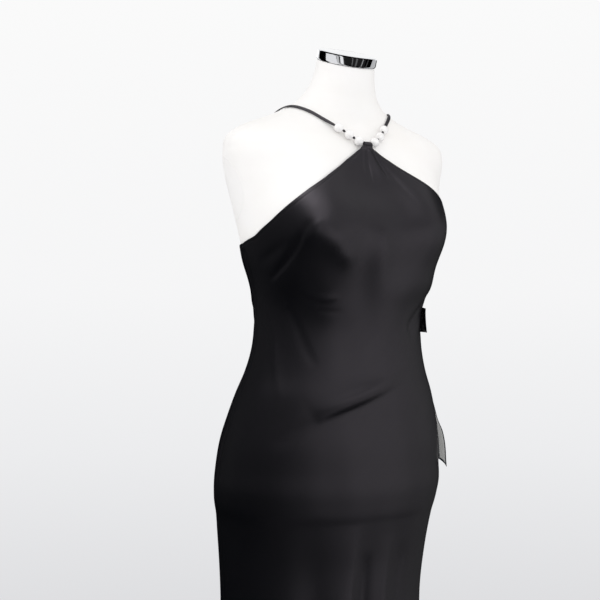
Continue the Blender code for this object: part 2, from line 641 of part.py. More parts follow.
def build_bead(name, centre, along):
    """One round bead with a hole along the cord."""
    rings = turned_rings(bead_profile(), 14)
    turn = Vector((0.0, 0.0, 1.0)).rotation_difference(Vector(along)).to_matrix()
    placed = rings @ np.array(turn).T + centre
    points, faces = rings_to_loop(placed)
    add_object(name, points, faces, PEARL)


def build_casing(centre, along):
    """Short tunnel of cloth that the cord runs through at the neck point."""
    inner_radius = CASING_OUTER_RADIUS - CASING_WALL
    profile = ((CASING_OUTER_RADIUS, -CASING_HALF_LENGTH), (CASING_OUTER_RADIUS, CASING_HALF_LENGTH),
               (inner_radius, CASING_HALF_LENGTH), (inner_radius, -CASING_HALF_LENGTH))
    rings = turned_rings(profile, 16)
    turn = Vector((0.0, 0.0, 1.0)).rotation_difference(Vector(along)).to_matrix()
    points, faces = rings_to_loop(rings @ np.array(turn).T + centre)
    add_object("neck_casing", points, faces, BLACK_SATIN)


def main():
    """Build the whole part."""
    clear_scene()
    root = bpy.data.objects.new(ROOT_NAME, None)
    bpy.context.collection.objects.link(root)
    root.location = MODEL_SHIFT
    surface = build_form()
    build_panels()
    build_tie("tie_short_end", TIE_SHORT, 7, 6)
    build_tie("tie_long_end", TIE_LONG, 20, 5)
    build_neck(surface)


main()
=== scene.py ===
"""Black satin halter gown on a white dress form, dressed for the render.

The gown's front faces -Y and its wearer's left is +X. All lengths are metres.
"""

import functools
import math

import bmesh
import bpy
import numpy as np
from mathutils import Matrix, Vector
from mathutils.bvhtree import BVHTree


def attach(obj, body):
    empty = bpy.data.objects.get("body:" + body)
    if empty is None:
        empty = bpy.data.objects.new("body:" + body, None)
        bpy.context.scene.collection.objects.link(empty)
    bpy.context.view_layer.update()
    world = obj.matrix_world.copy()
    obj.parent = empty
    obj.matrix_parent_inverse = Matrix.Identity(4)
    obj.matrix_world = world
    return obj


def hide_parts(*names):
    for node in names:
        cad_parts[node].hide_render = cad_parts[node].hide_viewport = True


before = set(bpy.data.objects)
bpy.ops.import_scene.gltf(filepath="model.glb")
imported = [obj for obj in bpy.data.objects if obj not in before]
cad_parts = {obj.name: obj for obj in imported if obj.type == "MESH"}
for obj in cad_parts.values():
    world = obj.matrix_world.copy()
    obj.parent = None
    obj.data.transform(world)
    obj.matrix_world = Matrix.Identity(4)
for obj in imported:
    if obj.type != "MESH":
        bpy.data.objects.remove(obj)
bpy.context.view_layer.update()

bl_info = {
    "name": "Halter gown",
    "version": (1, 0, 0),
    "blender": (4, 5, 0),
    "location": "3D View > Sidebar > Halter gown",
    "description": "Builds a satin halter gown with a beaded neck cord on a dress form",
    "category": "Object",
}

# Sections. Angles are degrees round the Z axis: the front is 0 and the wearer's left 90.
MODEL_SHIFT = np.array([0.0034, -0.0384, 0.0])
SEAM_GAP = 0.0003
CLOTH_WALL = 0.0016                 # outer face of the gown, from its inner face
CLOTH_CLEARANCE = 0.0016
HEM_HEIGHT = 0.035
SIDE_SEAM_DEG = 97.0
APEX_X = 0.003

# Rows of a section: height, middle across and in depth, half width, depth to the front
# and to the back, squareness, and the tilt of the section in degrees.
FORM = np.array([
    [0.792, 0.001, 0.036, 0.174, 0.123, 0.128, 2.30, 0.0],
    [0.800, 0.001, 0.036, 0.186, 0.138, 0.138, 2.30, 0.0],
    [0.822, 0.002, 0.036, 0.194, 0.1455, 0.145, 2.30, 0.0],
    [0.860, 0.002, 0.034, 0.1955, 0.1495, 0.146, 2.30, 0.0],
    [0.900, 0.002, 0.027, 0.191, 0.145, 0.144, 2.30, 0.0],
    [0.940, 0.001, 0.018, 0.182, 0.137, 0.139, 2.25, 0.0],
    [0.980, 0.000, 0.011, 0.170, 0.131, 0.129, 2.25, 0.0],
    [1.020, 0.000, 0.006, 0.156, 0.124, 0.119, 2.20, 0.0],
    [1.070, 0.000, 0.001, 0.145, 0.118, 0.110, 2.20, 0.0],
    [1.120, 0.000, 0.000, 0.144, 0.118, 0.109, 2.20, 0.0],
    [1.180, 0.000, -0.002, 0.155, 0.121, 0.121, 2.20, 0.0],
    [1.230, 0.000, -0.001, 0.167, 0.121, 0.133, 2.20, 0.0],
    [1.270, 0.000, 0.000, 0.176, 0.114, 0.137, 2.25, 0.0],
    [1.310, 0.000, 0.002, 0.186, 0.105, 0.135, 2.30, 0.0],
    [1.350, 0.000, 0.002, 0.197, 0.096, 0.127, 2.40, 0.0],
    [1.385, 0.000, 0.000, 0.204, 0.087, 0.114, 2.40, 0.0],
    [1.412, 0.000, 0.002, 0.198, 0.081, 0.099, 2.30, 3.0],
    [1.430, 0.000, 0.004, 0.170, 0.076, 0.084, 2.20, 6.0],
    [1.447, 0.000, 0.002, 0.124, 0.071, 0.074, 2.10, 9.0],
    [1.465, 0.000, -0.006, 0.086, 0.064, 0.066, 2.00, 12.0],
    [1.487, 0.000, -0.015, 0.063, 0.057, 0.059, 2.00, 15.0],
    [1.512, 0.000, -0.023, 0.053, 0.053, 0.053, 2.00, 18.0],
    [1.539, 0.000, -0.030, 0.049, 0.049, 0.049, 2.00, 20.0],
])
BUST = {"x": 0.094, "height": 1.261, "out": 0.049, "wide": 0.066, "above": 0.088,
        "below": 0.075, "aside": 0.32, "fade_from": -0.15, "fade_by": 1.6}
SKIRT = np.array([
    [0.030, -0.006, 0.047, 0.224, 0.172, 0.184, 2.10, 0.0],
    [0.200, -0.006, 0.047, 0.202, 0.152, 0.162, 2.10, 0.0],
    [0.400, -0.006, 0.048, 0.184, 0.135, 0.142, 2.15, 0.0],
    [0.560, -0.005, 0.049, 0.177, 0.129, 0.134, 2.20, 0.0],
    [0.640, -0.004, 0.049, 0.178, 0.131, 0.134, 2.20, 0.0],
    [0.700, -0.002, 0.048, 0.182, 0.1360, 0.135, 2.25, 0.0],
    [0.745, -0.001, 0.046, 0.1860, 0.1425, 0.1375, 2.30, 0.0],
    [0.775, 0.000, 0.043, 0.1903, 0.1460, 0.140, 2.30, 0.0],
    [0.800, 0.001, 0.040, 0.1958, 0.1485, 0.144, 2.30, 0.0],
    [0.822, 0.002, 0.037, 0.1983, 0.1495, 0.146, 2.30, 0.0],
])
GOWN = np.vstack([SKIRT, FORM[3:16]])

# Ease, where the gown stands off: angle, height, how far it spreads round and up, and how
# far it stands off.
EASE = np.array([
    [0.0, 1.245, 20.0, 0.062, 0.022],
    [0.0, 1.345, 16.0, 0.030, 0.003],
    [3.0, 1.394, 11.0, 0.020, 0.0032],
    [-42.0, 1.172, 22.0, 0.030, 0.008],
    [60.0, 1.164, 28.0, 0.018, 0.009],
    [28.0, 1.170, 16.0, 0.030, 0.005],
    [14.0, 1.128, 26.0, 0.046, 0.0095],
    [-116.0, 1.206, 30.0, 0.022, 0.004],
    [116.0, 1.206, 26.0, 0.024, 0.004],
    [180.0, 1.110, 40.0, 0.070, 0.010],
    [38.0, 1.262, 24.0, 0.060, 0.0018],
    [-42.0, 1.264, 26.0, 0.060, 0.0032],
])
# Folds of the skirt: angle, how far it spreads round, where it starts, how far it rises.
SKIRT_FOLDS = np.array([
    [-76.0, 11.0, 0.72, -0.004],
    [-54.0, 11.0, 0.76, 0.005],
    [-34.0, 8.0, 0.75, -0.006],
    [-13.0, 8.0, 0.77, 0.006],
    [2.0, 7.0, 0.76, -0.007],
    [17.0, 8.0, 0.77, 0.006],
    [36.0, 9.0, 0.73, -0.005],
    [58.0, 11.0, 0.74, 0.005],
    [80.0, 11.0, 0.70, -0.005],
    [104.0, 12.0, 0.72, 0.005],
    [127.0, 11.0, 0.70, -0.006],
    [150.0, 11.0, 0.74, 0.006],
    [172.0, 11.0, 0.70, -0.006],
    [-166.0, 10.0, 0.73, 0.006],
    [-146.0, 10.0, 0.71, -0.005],
    [-124.0, 11.0, 0.74, 0.006],
    [-100.0, 12.0, 0.70, -0.004],
])
FOLD_RUN = 0.34                     # height that a fold grows over
FOLD_DEEPENS = 0.25                 # further share that it grows by
FOLD_DEEPENS_OVER = 0.70            # height of that growth
BELLY_CREASE = {"from": (-40.0, 0.950), "to": (27.0, 1.004), "width": 0.009, "lip": 0.0026,
                "trough": 0.00104, "lip_above": 0.0153, "fade": 0.7}

EDGE_SAMPLES = 9                    # heights that a softened top edge is averaged from
EDGE_LEAST_WEIGHT = 0.05
# Top edge of the front from the neck point to each side seam, and of the back.
FRONT_TOP_RIGHT = np.array([
    [0.0, 1.3905], [4.0, 1.3900], [22.0, 1.3665], [36.0, 1.3425], [50.0, 1.3135],
    [60.0, 1.2895], [70.0, 1.2645], [82.0, 1.2430], [97.0, 1.2340],
])
FRONT_TOP_LEFT = np.array([
    [0.0, 1.3905], [7.0, 1.3900], [25.0, 1.3670], [35.0, 1.3505], [44.0, 1.3345],
    [52.0, 1.3190], [62.0, 1.2985], [72.0, 1.2710], [84.0, 1.2450], [97.0, 1.2340],
])
BACK_TOP = np.array([
    [97.0, 1.2340], [116.0, 1.2310], [133.0, 1.2210], [147.0, 1.2200], [162.0, 1.2000],
    [180.0, 1.1920],
])

# Neck cord, beads and strap.
BEAD_RADIUS = 0.0079
BEAD_HOLE_RADIUS = 0.0022
BEAD_SEAT = 0.0004
CORD_RADIUS = 0.0013
RIGHT_BEAD_SPOTS = ((0.0152, 1.3965), (0.0306, 1.4060), (0.0458, 1.4160))
LEFT_BEAD_SPOTS = ((0.0152, 1.3955), (0.0282, 1.4055), (0.0408, 1.4182))
CORD_NARROWS = 0.004
THREADED_HALF_LENGTH = 0.0056
STRAP_STEPS = 110                   # of each strap, from its end to its first bead
CASING_HALF_LENGTH = 0.0068
CASING_OUTER_RADIUS = 0.0040
CASING_WALL = 0.0011
CASING_CHAMFER = (0.0004, 0.0006)   # across and along, inside each end
CASING_EDGE_HEIGHTS = (1.3905, 1.3865)      # the edge it sits on, and a place under it
CASING_DEG = 1.95
CASING_RINGS = 41
CASING_SIDES = 40
# The casing's turning, with the height and the stand-off of its foot and of its knee, and
# how early its puckers start, as a share of its length.
TURNING = {"from_deg": -6.6, "wide_deg": 15.0, "foot": (1.3852, 0.0003),
           "knee": (1.3885, 0.0004), "wall": 0.0006, "tucked": 0.0009, "early": 0.15}
TURNING_COLUMNS = 61
TURNING_ROWS = 17
TURNING_PUCKERS = ((0.00030, 31.0, 0.0), (0.00018, 57.0, 1.3))
CASING_PUCKERS = ((0.00010, 1900.0, 0.0), (0.00005, 3300.0, 1.0))
# How far the cord draws the casing in, all along it and at its ends.
GATHERS = {"all": 0.00034, "end": 0.00025, "end_width": 0.0006}
# Shares of a bead's radius that its skin wavers by and is drawn in by, and how fast both
# fade in from its holes.
BEAD_SKIN = {"wave": 0.010, "ripple": 0.007, "all": 0.012, "edge_fade": 8.0}
BEAD_RINGS = 26
BEAD_SIDES = 40
CORD_STEPS = 4                      # between two of the points that the cord runs through
KNOT_RINGS = 12
KNOT_SIDES = 18
# Metres of satin that the maps have from one column of points to the next.
UV_STEPS = {"strap": 0.0005, "casing": 0.0006, "turning": 0.0004}
KNOT = {"radius": 0.00215, "half_length": 0.0020, "wrap": 0.11, "pole": 0.08}
STRAP_HALF_WIDTH = 0.0030
STRAP_HALF_THICKNESS = 0.0012
STRAP_SEAT = 0.0008
STRAP_SIDES = 20
# Groove along its back: a share of its thickness, and a width in radians.
STRAP_SEAM = {"depth": 0.16, "width": 0.25}
STRAP_WAVER = ((0.035, 210.0, 0.0),)        # shares of its width
STRAP_ORIGIN_Y = 0.020
STRAP_ORIGIN_Z = 1.330
# Right and left strap: how far aside the line over the shoulder starts, and its turn in
# degrees from straight ahead, over the top, to the back.
RIGHT_STRAP_TRACK = ((0.0640, 53.0), (0.0760, 59.5), (0.0855, 68.0), (0.0915, 79.0),
                     (0.0935, 89.0), (0.0955, 100.0), (0.0980, 113.0), (0.1010, 130.0),
                     (0.1035, 150.0), (0.1055, 172.0), (0.1070, 192.0), (0.1080, 208.0),
                     (0.1085, 219.0))
LEFT_STRAP_TRACK = ((0.0590, 52.0), (0.0705, 58.5), (0.0840, 68.0), (0.0970, 79.0),
                    (0.1080, 90.0), (0.1130, 101.0), (0.1140, 113.0), (0.1160, 130.0),
                    (0.1160, 150.0), (0.1140, 172.0), (0.1110, 192.0), (0.1095, 208.0),
                    (0.1085, 219.0))
STRAP_END_DEG = 140.0
STRAP_END_LIFT = 0.0016
FORM_RING_POINTS = 52
FORM_HEIGHTS = np.concatenate([
    [0.792, 0.796, 0.803, 0.814, 0.836],
    np.linspace(0.866, 1.360, 17),
    [1.378, 1.394, 1.407, 1.418, 1.427, 1.435, 1.443, 1.451, 1.460, 1.471, 1.485, 1.502,
     1.520, 1.539],
])
FINE_FORM = (180, np.linspace(1.100, 1.539, 160))       # about as fine as it is shown

TIE_LEAST_OFF = 0.0004
TIE_SEAT = 0.0001
# Tie ends: height, angle and stand-off of the rear edge, then of the front edge.
TIE_SHORT = np.array([
    [1.1270, 79.0, 0.0004, 1.1255, 62.0, 0.0050],
    [1.1160, 79.5, 0.0008, 1.1145, 61.5, 0.0066],
    [1.1050, 80.0, 0.0014, 1.1040, 61.0, 0.0080],
    [1.0930, 80.5, 0.0020, 1.0930, 61.0, 0.0092],
    [1.0820, 81.0, 0.0026, 1.0820, 61.0, 0.0102],
])
TIE_LONG = np.array([
    [1.1270, 96.0, 0.0004, 1.1270, 83.0, 0.0004],
    [1.0900, 95.0, 0.0016, 1.0900, 83.0, 0.0028],
    [1.0500, 93.0, 0.0020, 1.0500, 80.0, 0.0020],
    [1.0000, 90.0, 0.0020, 1.0000, 77.0, 0.0010],
    [0.9600, 85.0, 0.0020, 0.9580, 72.0, 0.0004],
    [0.9300, 80.0, 0.0024, 0.9300, 66.5, 0.0012],
    [0.9060, 77.5, 0.0030, 0.9080, 64.0, 0.0070],
    [0.8800, 76.5, 0.0036, 0.8780, 63.0, 0.0108],
    [0.8540, 76.0, 0.0044, 0.8465, 63.0, 0.0122],
])

# Creases, listed one by one. Each row is the points of its line, in angle and height, how far
# it rises or sinks, how wide it is to its left and to its right, seen along the line, and
# a power: a low one keeps it strong to its ends.
FRONT_CREASES = (
    # the slanting crease over the belly, steep below and long above
    (((-40, 0.9465), (-33, 0.9575), (-22, 0.9685), (-8, 0.9800), (8, 0.9930), (27, 1.0090)),
     0.0060, 0.030, 0.0072, 1.0),
    (((-62, 0.905), (-54, 0.917), (-45, 0.936), (-37, 0.951)), -0.0014, 0.012, 0.012, 1.2),
    # the fold at the side of the right bust
    (((-50, 1.262), (-53, 1.246), (-57, 1.222), (-64, 1.196), (-74, 1.172)),
     -0.0034, 0.0036, 0.0066, 0.6),
    (((-46.4, 1.262), (-46.8, 1.250), (-48.5, 1.234)), 0.0016, 0.0030, 0.0030, 0.6),
    (((-61, 1.236), (-70, 1.216), (-82, 1.200)), -0.0010, 0.008, 0.008, 0.6),
    # small wrinkles under the right bust
    (((-54, 1.158), (-47, 1.147), (-38, 1.143), (-30, 1.145)), 0.0012, 0.0080, 0.0034, 0.6),
    (((-50, 1.143), (-43, 1.137), (-34, 1.134)), -0.0007, 0.0036, 0.0036, 0.6),
    (((-44, 1.126), (-36, 1.122), (-27, 1.121)), -0.0006, 0.0050, 0.0050, 0.6),
    # long soft lines down the right side of the waist
    (((-77, 1.104), (-74, 1.070), (-69, 1.030), (-61, 0.978)), 0.0015, 0.0065, 0.0065, 0.6),
    (((-63, 1.130), (-57, 1.096), (-51, 1.064), (-43, 1.032)), -0.0016, 0.0055, 0.0080, 0.6),
    (((-90, 1.130), (-84, 1.094), (-79, 1.058)), -0.0012, 0.008, 0.008, 0.6),
    # the pull at the left side of the waist
    (((60, 1.130), (51, 1.118), (42, 1.103), (33, 1.088)), -0.0074, 0.0140, 0.0120, 0.6),
    (((72, 1.106), (60, 1.088), (49, 1.070)), -0.0014, 0.0080, 0.0080, 0.6),
    (((74, 1.140), (62, 1.146), (50, 1.150)), -0.0012, 0.0070, 0.0070, 0.6),
    (((16, 1.022), (25, 1.027), (36, 1.030)), 0.0008, 0.0120, 0.0075, 0.6),
    (((88, 1.060), (80, 1.030), (74, 0.995)), -0.0012, 0.0080, 0.0080, 0.6),
    # gathers below the casing
    (((3.0, 1.393), (5.0, 1.378), (8.5, 1.362), (12.5, 1.345), (17, 1.330)),
     0.0032, 0.0048, 0.0130, 0.8),
    (((1.2, 1.388), (0.6, 1.362), (0.4, 1.326)), -0.0007, 0.0030, 0.0050, 0.6),
    (((-1.6, 1.389), (-3.6, 1.362), (-5.2, 1.322)), 0.0005, 0.0045, 0.0045, 0.6),
    (((8.4, 1.382), (18, 1.352), (27, 1.316), (32, 1.290)), -0.0006, 0.0040, 0.0070, 0.6),
    (((13, 1.374), (24, 1.348), (36, 1.312)), 0.0004, 0.0060, 0.0050, 0.6),
    (((-4.6, 1.384), (-14, 1.362), (-27, 1.330)), 0.0005, 0.0060, 0.0060, 0.6),
    # the skirt's folds deepen the large ones
    (((2.2, 0.728), (2.4, 0.680), (2.6, 0.600), (2.2, 0.460)), -0.0028, 0.0100, 0.0120, 1.3),
    (((-10.5, 0.775), (-10.5, 0.700), (-10.5, 0.600), (-11.0, 0.450)), 0.0034, 0.0120, 0.0300, 1.0),
    (((-36.0, 0.790), (-36.0, 0.700), (-36.0, 0.600), (-37.0, 0.430)),
     -0.0028, 0.0300, 0.0300, 0.8),
    (((18.5, 0.755), (18.6, 0.700), (19.0, 0.600), (18.0, 0.450)), 0.0014, 0.0110, 0.0110, 1.3),
    (((31.0, 0.740), (31.5, 0.680), (31.0, 0.560)), -0.0010, 0.0100, 0.0100, 1.3),
    # the rolled end of the side seam at the underarm
    (((-96.2, 1.2350), (-96.4, 1.2290), (-96.6, 1.2210)), 0.0026, 0.0050, 0.0050, 0.35),
)
# Broad soft swells of the front, in the columns of the ease: the taut rise down the right
# bust and the fuller cloth below.
SWELLS = np.array([
    [-47.5, 1.243, 8.0, 0.020, 0.0034],
    [-37.0, 1.229, 8.0, 0.021, 0.0040],
    [-27.5, 1.208, 8.5, 0.025, 0.0030],
    [-22.0, 1.268, 9.0, 0.030, 0.0030],
    [-43.0, 1.257, 6.0, 0.014, 0.0018],
    [-36.0, 1.238, 6.5, 0.014, 0.0024],
    [-28.5, 1.214, 6.0, 0.014, 0.0018],
    [-36.0, 1.130, 18.0, 0.032, 0.0046],
    [16.0, 1.162, 17.0, 0.036, 0.0046],
    [-2.0, 1.196, 11.0, 0.050, 0.0042],
])
BACK_CREASES = (
    (((126, 1.196), (148, 1.172), (180, 1.160), (212, 1.172), (234, 1.196)),
     0.0022, 0.0120, 0.0070, 0.6),
    (((134, 1.172), (152, 1.150), (182, 1.141), (210, 1.151), (228, 1.174)),
     -0.0018, 0.0060, 0.0080, 0.6),
    (((140, 1.150), (160, 1.128), (183, 1.118), (206, 1.130)), 0.0018, 0.0110, 0.0065, 0.6),
    (((106, 1.150), (120, 1.130), (138, 1.112), (156, 1.100)), 0.0022, 0.0120, 0.0050, 0.6),
    (((206, 1.098), (224, 1.108), (241, 1.124), (256, 1.146)), 0.0021, 0.0120, 0.0050, 0.6),
    (((104, 1.112), (118, 1.098), (132, 1.088)), -0.0014, 0.0070, 0.0070, 0.6),
    (((230, 1.080), (244, 1.090), (257, 1.108)), -0.0013, 0.0070, 0.0070, 0.6),
    (((150, 1.066), (170, 1.056), (192, 1.058), (212, 1.070)), 0.0021, 0.0150, 0.0060, 0.6),
    (((160, 1.032), (180, 1.024), (198, 1.028)), 0.0014, 0.0110, 0.0070, 0.6),
    (((180, 0.82), (179, 0.77), (180, 0.70)), -0.0018, 0.014, 0.014, 0.6),
    (((139, 0.74), (138, 0.67), (140, 0.52)), 0.0014, 0.010, 0.010, 0.6),
    (((222, 0.74), (223, 0.67), (221, 0.52)), 0.0014, 0.010, 0.010, 0.6),
)
FORM_CLEARANCE = 0.0007            # least room between the form and the cloth
CREASE_ARC = 0.150                  # radius that turns an angle of a crease into a length
CREASE_SPOTS = 20                   # points on the smooth line of a crease
CREASE_TURN = 0.35                  # share of a crease's width that its two sides meet over
LEDGE = {"height": 0.786, "above": 0.016, "below": 0.007, "rise": 0.0004}
# Taut cloth spans small hollows: lengths over which it evens itself out, and where.
TAUT = {"from": 0.98, "to": 1.40, "beyond": 0.06, "fade": 0.08, "reach": 0.013,
        "angle_step": 1.5, "height_step": 0.004}
RIPPLES = (
    # waves round the body, radians of the wave to a metre of height, phase, rise
    (7.0, 18.0, 0.4, 0.00028),
    (11.0, -12.0, 1.9, 0.00022),
    (4.0, 34.0, 3.1, 0.00020),
    (17.0, 24.0, 5.0, 0.00012),
)
TOP_HEM = {"band": 0.0055, "groove": 0.00035, "groove_width": 0.0008, "roll": 0.00045,
           "roll_width": 0.0013}
SEAM_OPENS = 0.00004               # room between the two panels in a side seam
SEAM_ROLL = {"depth": 0.0009, "width": 0.0022}
INNER_ROLL_SHARE = 0.6              # share of an edge's roll that the inner face is spared
BOTTOM_HEM = {"band": 0.014, "ridge": 0.00035, "ridge_width": 0.0022}


def unit(vectors):
    """Vectors of length 1 along some others."""
    return vectors / np.linalg.norm(vectors, axis=-1, keepdims=True)


def full_turn(count):
    """Angles evenly round a circle, in radians."""
    return np.linspace(0.0, 2.0 * math.pi, count, endpoint=False)


def eased(share):
    """A share held between 0 and 1 that starts and ends gently."""
    held = np.clip(share, 0.0, 1.0)
    return held * held * (3.0 - 2.0 * held)


def smooth_through(knots, values, wanted):
    """Values at the wanted places, on a smooth curve through those at the knots."""
    slopes = np.gradient(values, knots, axis=0)
    low = np.clip(np.searchsorted(knots, wanted) - 1, 0, len(knots) - 2)
    step = knots[low + 1] - knots[low]
    share = np.clip((wanted - knots[low]) / step, 0.0, 1.0)[..., None]
    step = step[..., None]
    square, cube = share**2, share**3
    return ((2 * cube - 3 * square + 1) * values[low]
            + (cube - 2 * square + share) * step * slopes[low]
            + (3 * square - 2 * cube) * values[low + 1]
            + (cube - square) * step * slopes[low + 1])


def smooth_line(points, count):
    """A denser line on a smooth curve through some points."""
    knots = np.arange(len(points), dtype=float)
    return smooth_through(knots, np.asarray(points, float), np.linspace(0.0, knots[-1], count))


def section_point(table, angle, height):
    """Point of a sectioned body at an angle in degrees and a height."""
    angle, height = np.broadcast_arrays(np.asarray(angle, float), np.asarray(height, float))
    row = smooth_through(table[:, 0], table[:, 1:], height)
    centre_x, centre_y, half_width, front, back, square, tilt = np.moveaxis(row, -1, 0)
    side, ahead = np.sin(np.radians(angle)), np.cos(np.radians(angle))
    depth = np.where(ahead > 0.0, front, back)
    reach = (np.abs(side / half_width)**square + np.abs(ahead / depth)**square)**(-1 / square)
    x, y = reach * side, -reach * ahead
    rise = height - BUST["height"]
    spread = np.where(rise > 0.0, BUST["above"], BUST["below"])
    out = np.clip((ahead - BUST["fade_from"]) * BUST["fade_by"], 0.0, 1.0) * BUST["out"]
    right, left = (out * hump(x - middle, BUST["wide"]) * hump(rise, spread)
                   for middle in (-BUST["x"], BUST["x"]))
    x = x + BUST["aside"] * (left - right)
    y = y - left - right
    lean = np.radians(tilt)
    return np.stack([centre_x + x, centre_y + y * np.cos(lean), height + y * np.sin(lean)], -1)


def surface_normal(table, angle, height):
    """Unit outward direction of a sectioned body, from points a little to each side."""
    turn, lift = 0.4, 0.0015
    across = section_point(table, angle + turn, height) - section_point(table, angle - turn, height)
    up = section_point(table, angle, height + lift) - section_point(table, angle, height - lift)
    return unit(np.cross(across, up))


def angle_between(angle, other):
    """Difference of two directions in degrees, within half a turn."""
    return (angle - other + 180.0) % 360.0 - 180.0


def swelling(angle, height, swells):
    """How far some broad soft swells rise in all."""
    total = np.zeros(np.shape(angle))
    for at, level, angle_spread, height_spread, rise in swells:
        around = hump(angle_between(angle, at), angle_spread)
        total = total + rise * around * hump(height - level, height_spread)
    return total


def stand_off(angle, height):
    """How far the inside of the gown is from its smooth section."""
    total = CLOTH_CLEARANCE + swelling(angle, height, EASE)
    for at, angle_spread, starts, rise in SKIRT_FOLDS:
        under = starts - height
        deeper = FOLD_DEEPENS * np.clip(under / FOLD_DEEPENS_OVER, 0.0, 1.0)
        grown = eased(under / FOLD_RUN) + deeper
        total = total + rise * grown * hump(angle_between(angle, at), angle_spread)
    return total + belly_crease(angle, height)


def belly_crease(angle, height):
    """Depth of the slanting crease over the belly, a shallow trough with a lip above it."""
    (first, low), (last, high) = BELLY_CREASE["from"], BELLY_CREASE["to"]
    along = (angle - first) / (last - first)
    above = height - low - (high - low) * along
    fade = np.clip(np.sin(np.pi * np.clip(along, 0.0, 1.0)), 0.0, 1.0)**BELLY_CREASE["fade"]
    lip = BELLY_CREASE["lip"] * hump(above - BELLY_CREASE["lip_above"], BELLY_CREASE["width"])
    return fade * (lip - BELLY_CREASE["trough"] * hump(above, BELLY_CREASE["width"]))


def crease_relief(angle, height, creases):
    """Height that the listed creases add at each point of a panel."""
    around = np.radians(angle) * CREASE_ARC
    total = np.zeros(np.shape(angle))
    for points, rise, left, right, ends in creases:
        line = smooth_line(points, CREASE_SPOTS)
        line[:, 0] = np.radians(line[:, 0]) * CREASE_ARC
        nearest = np.full(np.shape(angle), np.inf)
        share, to_left = np.zeros((2, *np.shape(angle)))
        for spot, (run_around, run_up) in enumerate(np.diff(line, axis=0)):
            from_around, from_up = around - line[spot, 0], height - line[spot, 1]
            length = math.hypot(run_around, run_up)
            held = np.clip((from_around * run_around + from_up * run_up) / length**2, 0.0, 1.0)
            away = np.hypot(from_around - held * run_around, from_up - held * run_up)
            closer = away < nearest
            nearest = np.where(closer, away, nearest)
            share = np.where(closer, (spot + held) / (len(line) - 1), share)
            aside = (run_around * from_up - run_up * from_around) / length
            to_left = np.where(closer, aside, to_left)
        fade = np.clip(np.sin(np.pi * share), 0.0, 1.0)**ends
        turn = 0.5 + 0.5 * np.tanh(to_left / (CREASE_TURN * min(left, right)))
        width = right + (left - right) * turn
        total = total + rise * fade * hump(nearest, width)
    return total


def fine_relief(angle, height, creases):
    """All the relief that the fine cloth has over the plain panel."""
    total = crease_relief(angle, height, creases) + swelling(angle, height, SWELLS)
    for around, up, phase, rise in RIPPLES:
        total = total + rise * np.sin(np.radians(angle) * around + height * up + phase)
    away = height - LEDGE["height"]
    width = np.where(away > 0.0, LEDGE["above"], LEDGE["below"])
    return total + LEDGE["rise"] * hump(away, width)


def blur(reach):
    """Spots to each side that a blur takes in, each with its weight."""
    spots = np.arange(-int(3 * reach), int(3 * reach) + 1)
    weights = np.exp(-0.5 * (spots / reach)**2)
    return list(zip(spots, weights / weights.sum()))


@functools.cache
def taut_lattice():
    """How far taut cloth moves from the plain panel, on a lattice of angles and heights."""
    angles = np.arange(-180.0, 180.0, TAUT["angle_step"])
    heights = np.arange(TAUT["from"] - TAUT["beyond"], TAUT["to"] + TAUT["beyond"],
                        TAUT["height_step"])
    plain = gown_point(*np.meshgrid(angles, heights))
    around = TAUT["reach"] / (math.radians(TAUT["angle_step"]) * CREASE_ARC)
    smooth = sum(weight * np.roll(plain, spot, axis=1) for spot, weight in blur(around))
    step_up = np.array([0.0, 0.0, TAUT["height_step"]])
    blurred = np.zeros_like(smooth)
    for spot, weight in blur(TAUT["reach"] / TAUT["height_step"]):
        wanted = np.arange(len(heights)) + spot
        held = np.clip(wanted, 0, len(heights) - 1)
        blurred += weight * (smooth[held] + (wanted - held)[:, None, None] * step_up)
    return angles, heights, blurred - plain


def cubic_weights(share):
    """Weights of four lattice spots for a smooth value between the middle two."""
    square, cube = share**2, share**3
    return (0.5 * (-cube + 2 * square - share), 0.5 * (3 * cube - 5 * square + 2),
            0.5 * (-3 * cube + 4 * square + share), 0.5 * (cube - square))


def taut_shift(angle, height):
    """How far taut cloth moves from the plain panel at any angles and heights."""
    angles, heights, shift = taut_lattice()
    across = ((angle + 180.0) % 360.0) / TAUT["angle_step"]
    up = np.clip((height - heights[0]) / TAUT["height_step"], 1.0, len(heights) - 3.001)
    column, row = np.floor(across).astype(int), np.floor(up).astype(int)
    total = np.zeros(np.shape(angle) + (3,))
    for down, weight_up in enumerate(cubic_weights(up - row)):
        for aside, weight_across in enumerate(cubic_weights(across - column)):
            spot = shift[row + down - 1, (column + aside - 1) % len(angles)]
            total += (weight_up * weight_across)[..., None] * spot
    return total * eased((height - TAUT["from"]) / TAUT["fade"])[..., None]


def gown_point(angle, height, out=0.0):
    """Point of the gown's inner face, moved out by a further length or lengths."""
    normal = surface_normal(GOWN, angle, height)
    off = stand_off(angle, height) + out
    return section_point(GOWN, angle, height) + normal * off[..., None]


def worn_point(angle, height, out=0.0, least=0.0):
    """Point of the taut gown's inner face, moved out, and at least so far off the section."""
    shift = taut_shift(angle, height)
    off = stand_off(angle, height) + out + np.sum(shift * surface_normal(GOWN, angle, height), -1)
    push = np.maximum(least - off, 0.0) * (height > FORM[2, 0])
    return gown_point(angle, height, out + push) + shift


def front_top(angle):
    """Height of the front's top edge at each angle."""
    return np.where(angle < 0.0, np.interp(-angle, *FRONT_TOP_RIGHT.T),
                    np.interp(angle, *FRONT_TOP_LEFT.T))


def back_top(angle):
    """Height of the back's top edge at each angle, from 0 to 360."""
    return np.interp(180.0 - np.abs(180.0 - angle), *BACK_TOP.T)


def softened(top, angle, over):
    """Top edge heights averaged over a few degrees to each side."""
    steps = np.linspace(-over, over, EDGE_SAMPLES)
    weights = np.cos(steps / over * math.pi / 2) + EDGE_LEAST_WEIGHT
    return sum(weight * top(angle + step) for step, weight in zip(steps, weights)) / weights.sum()


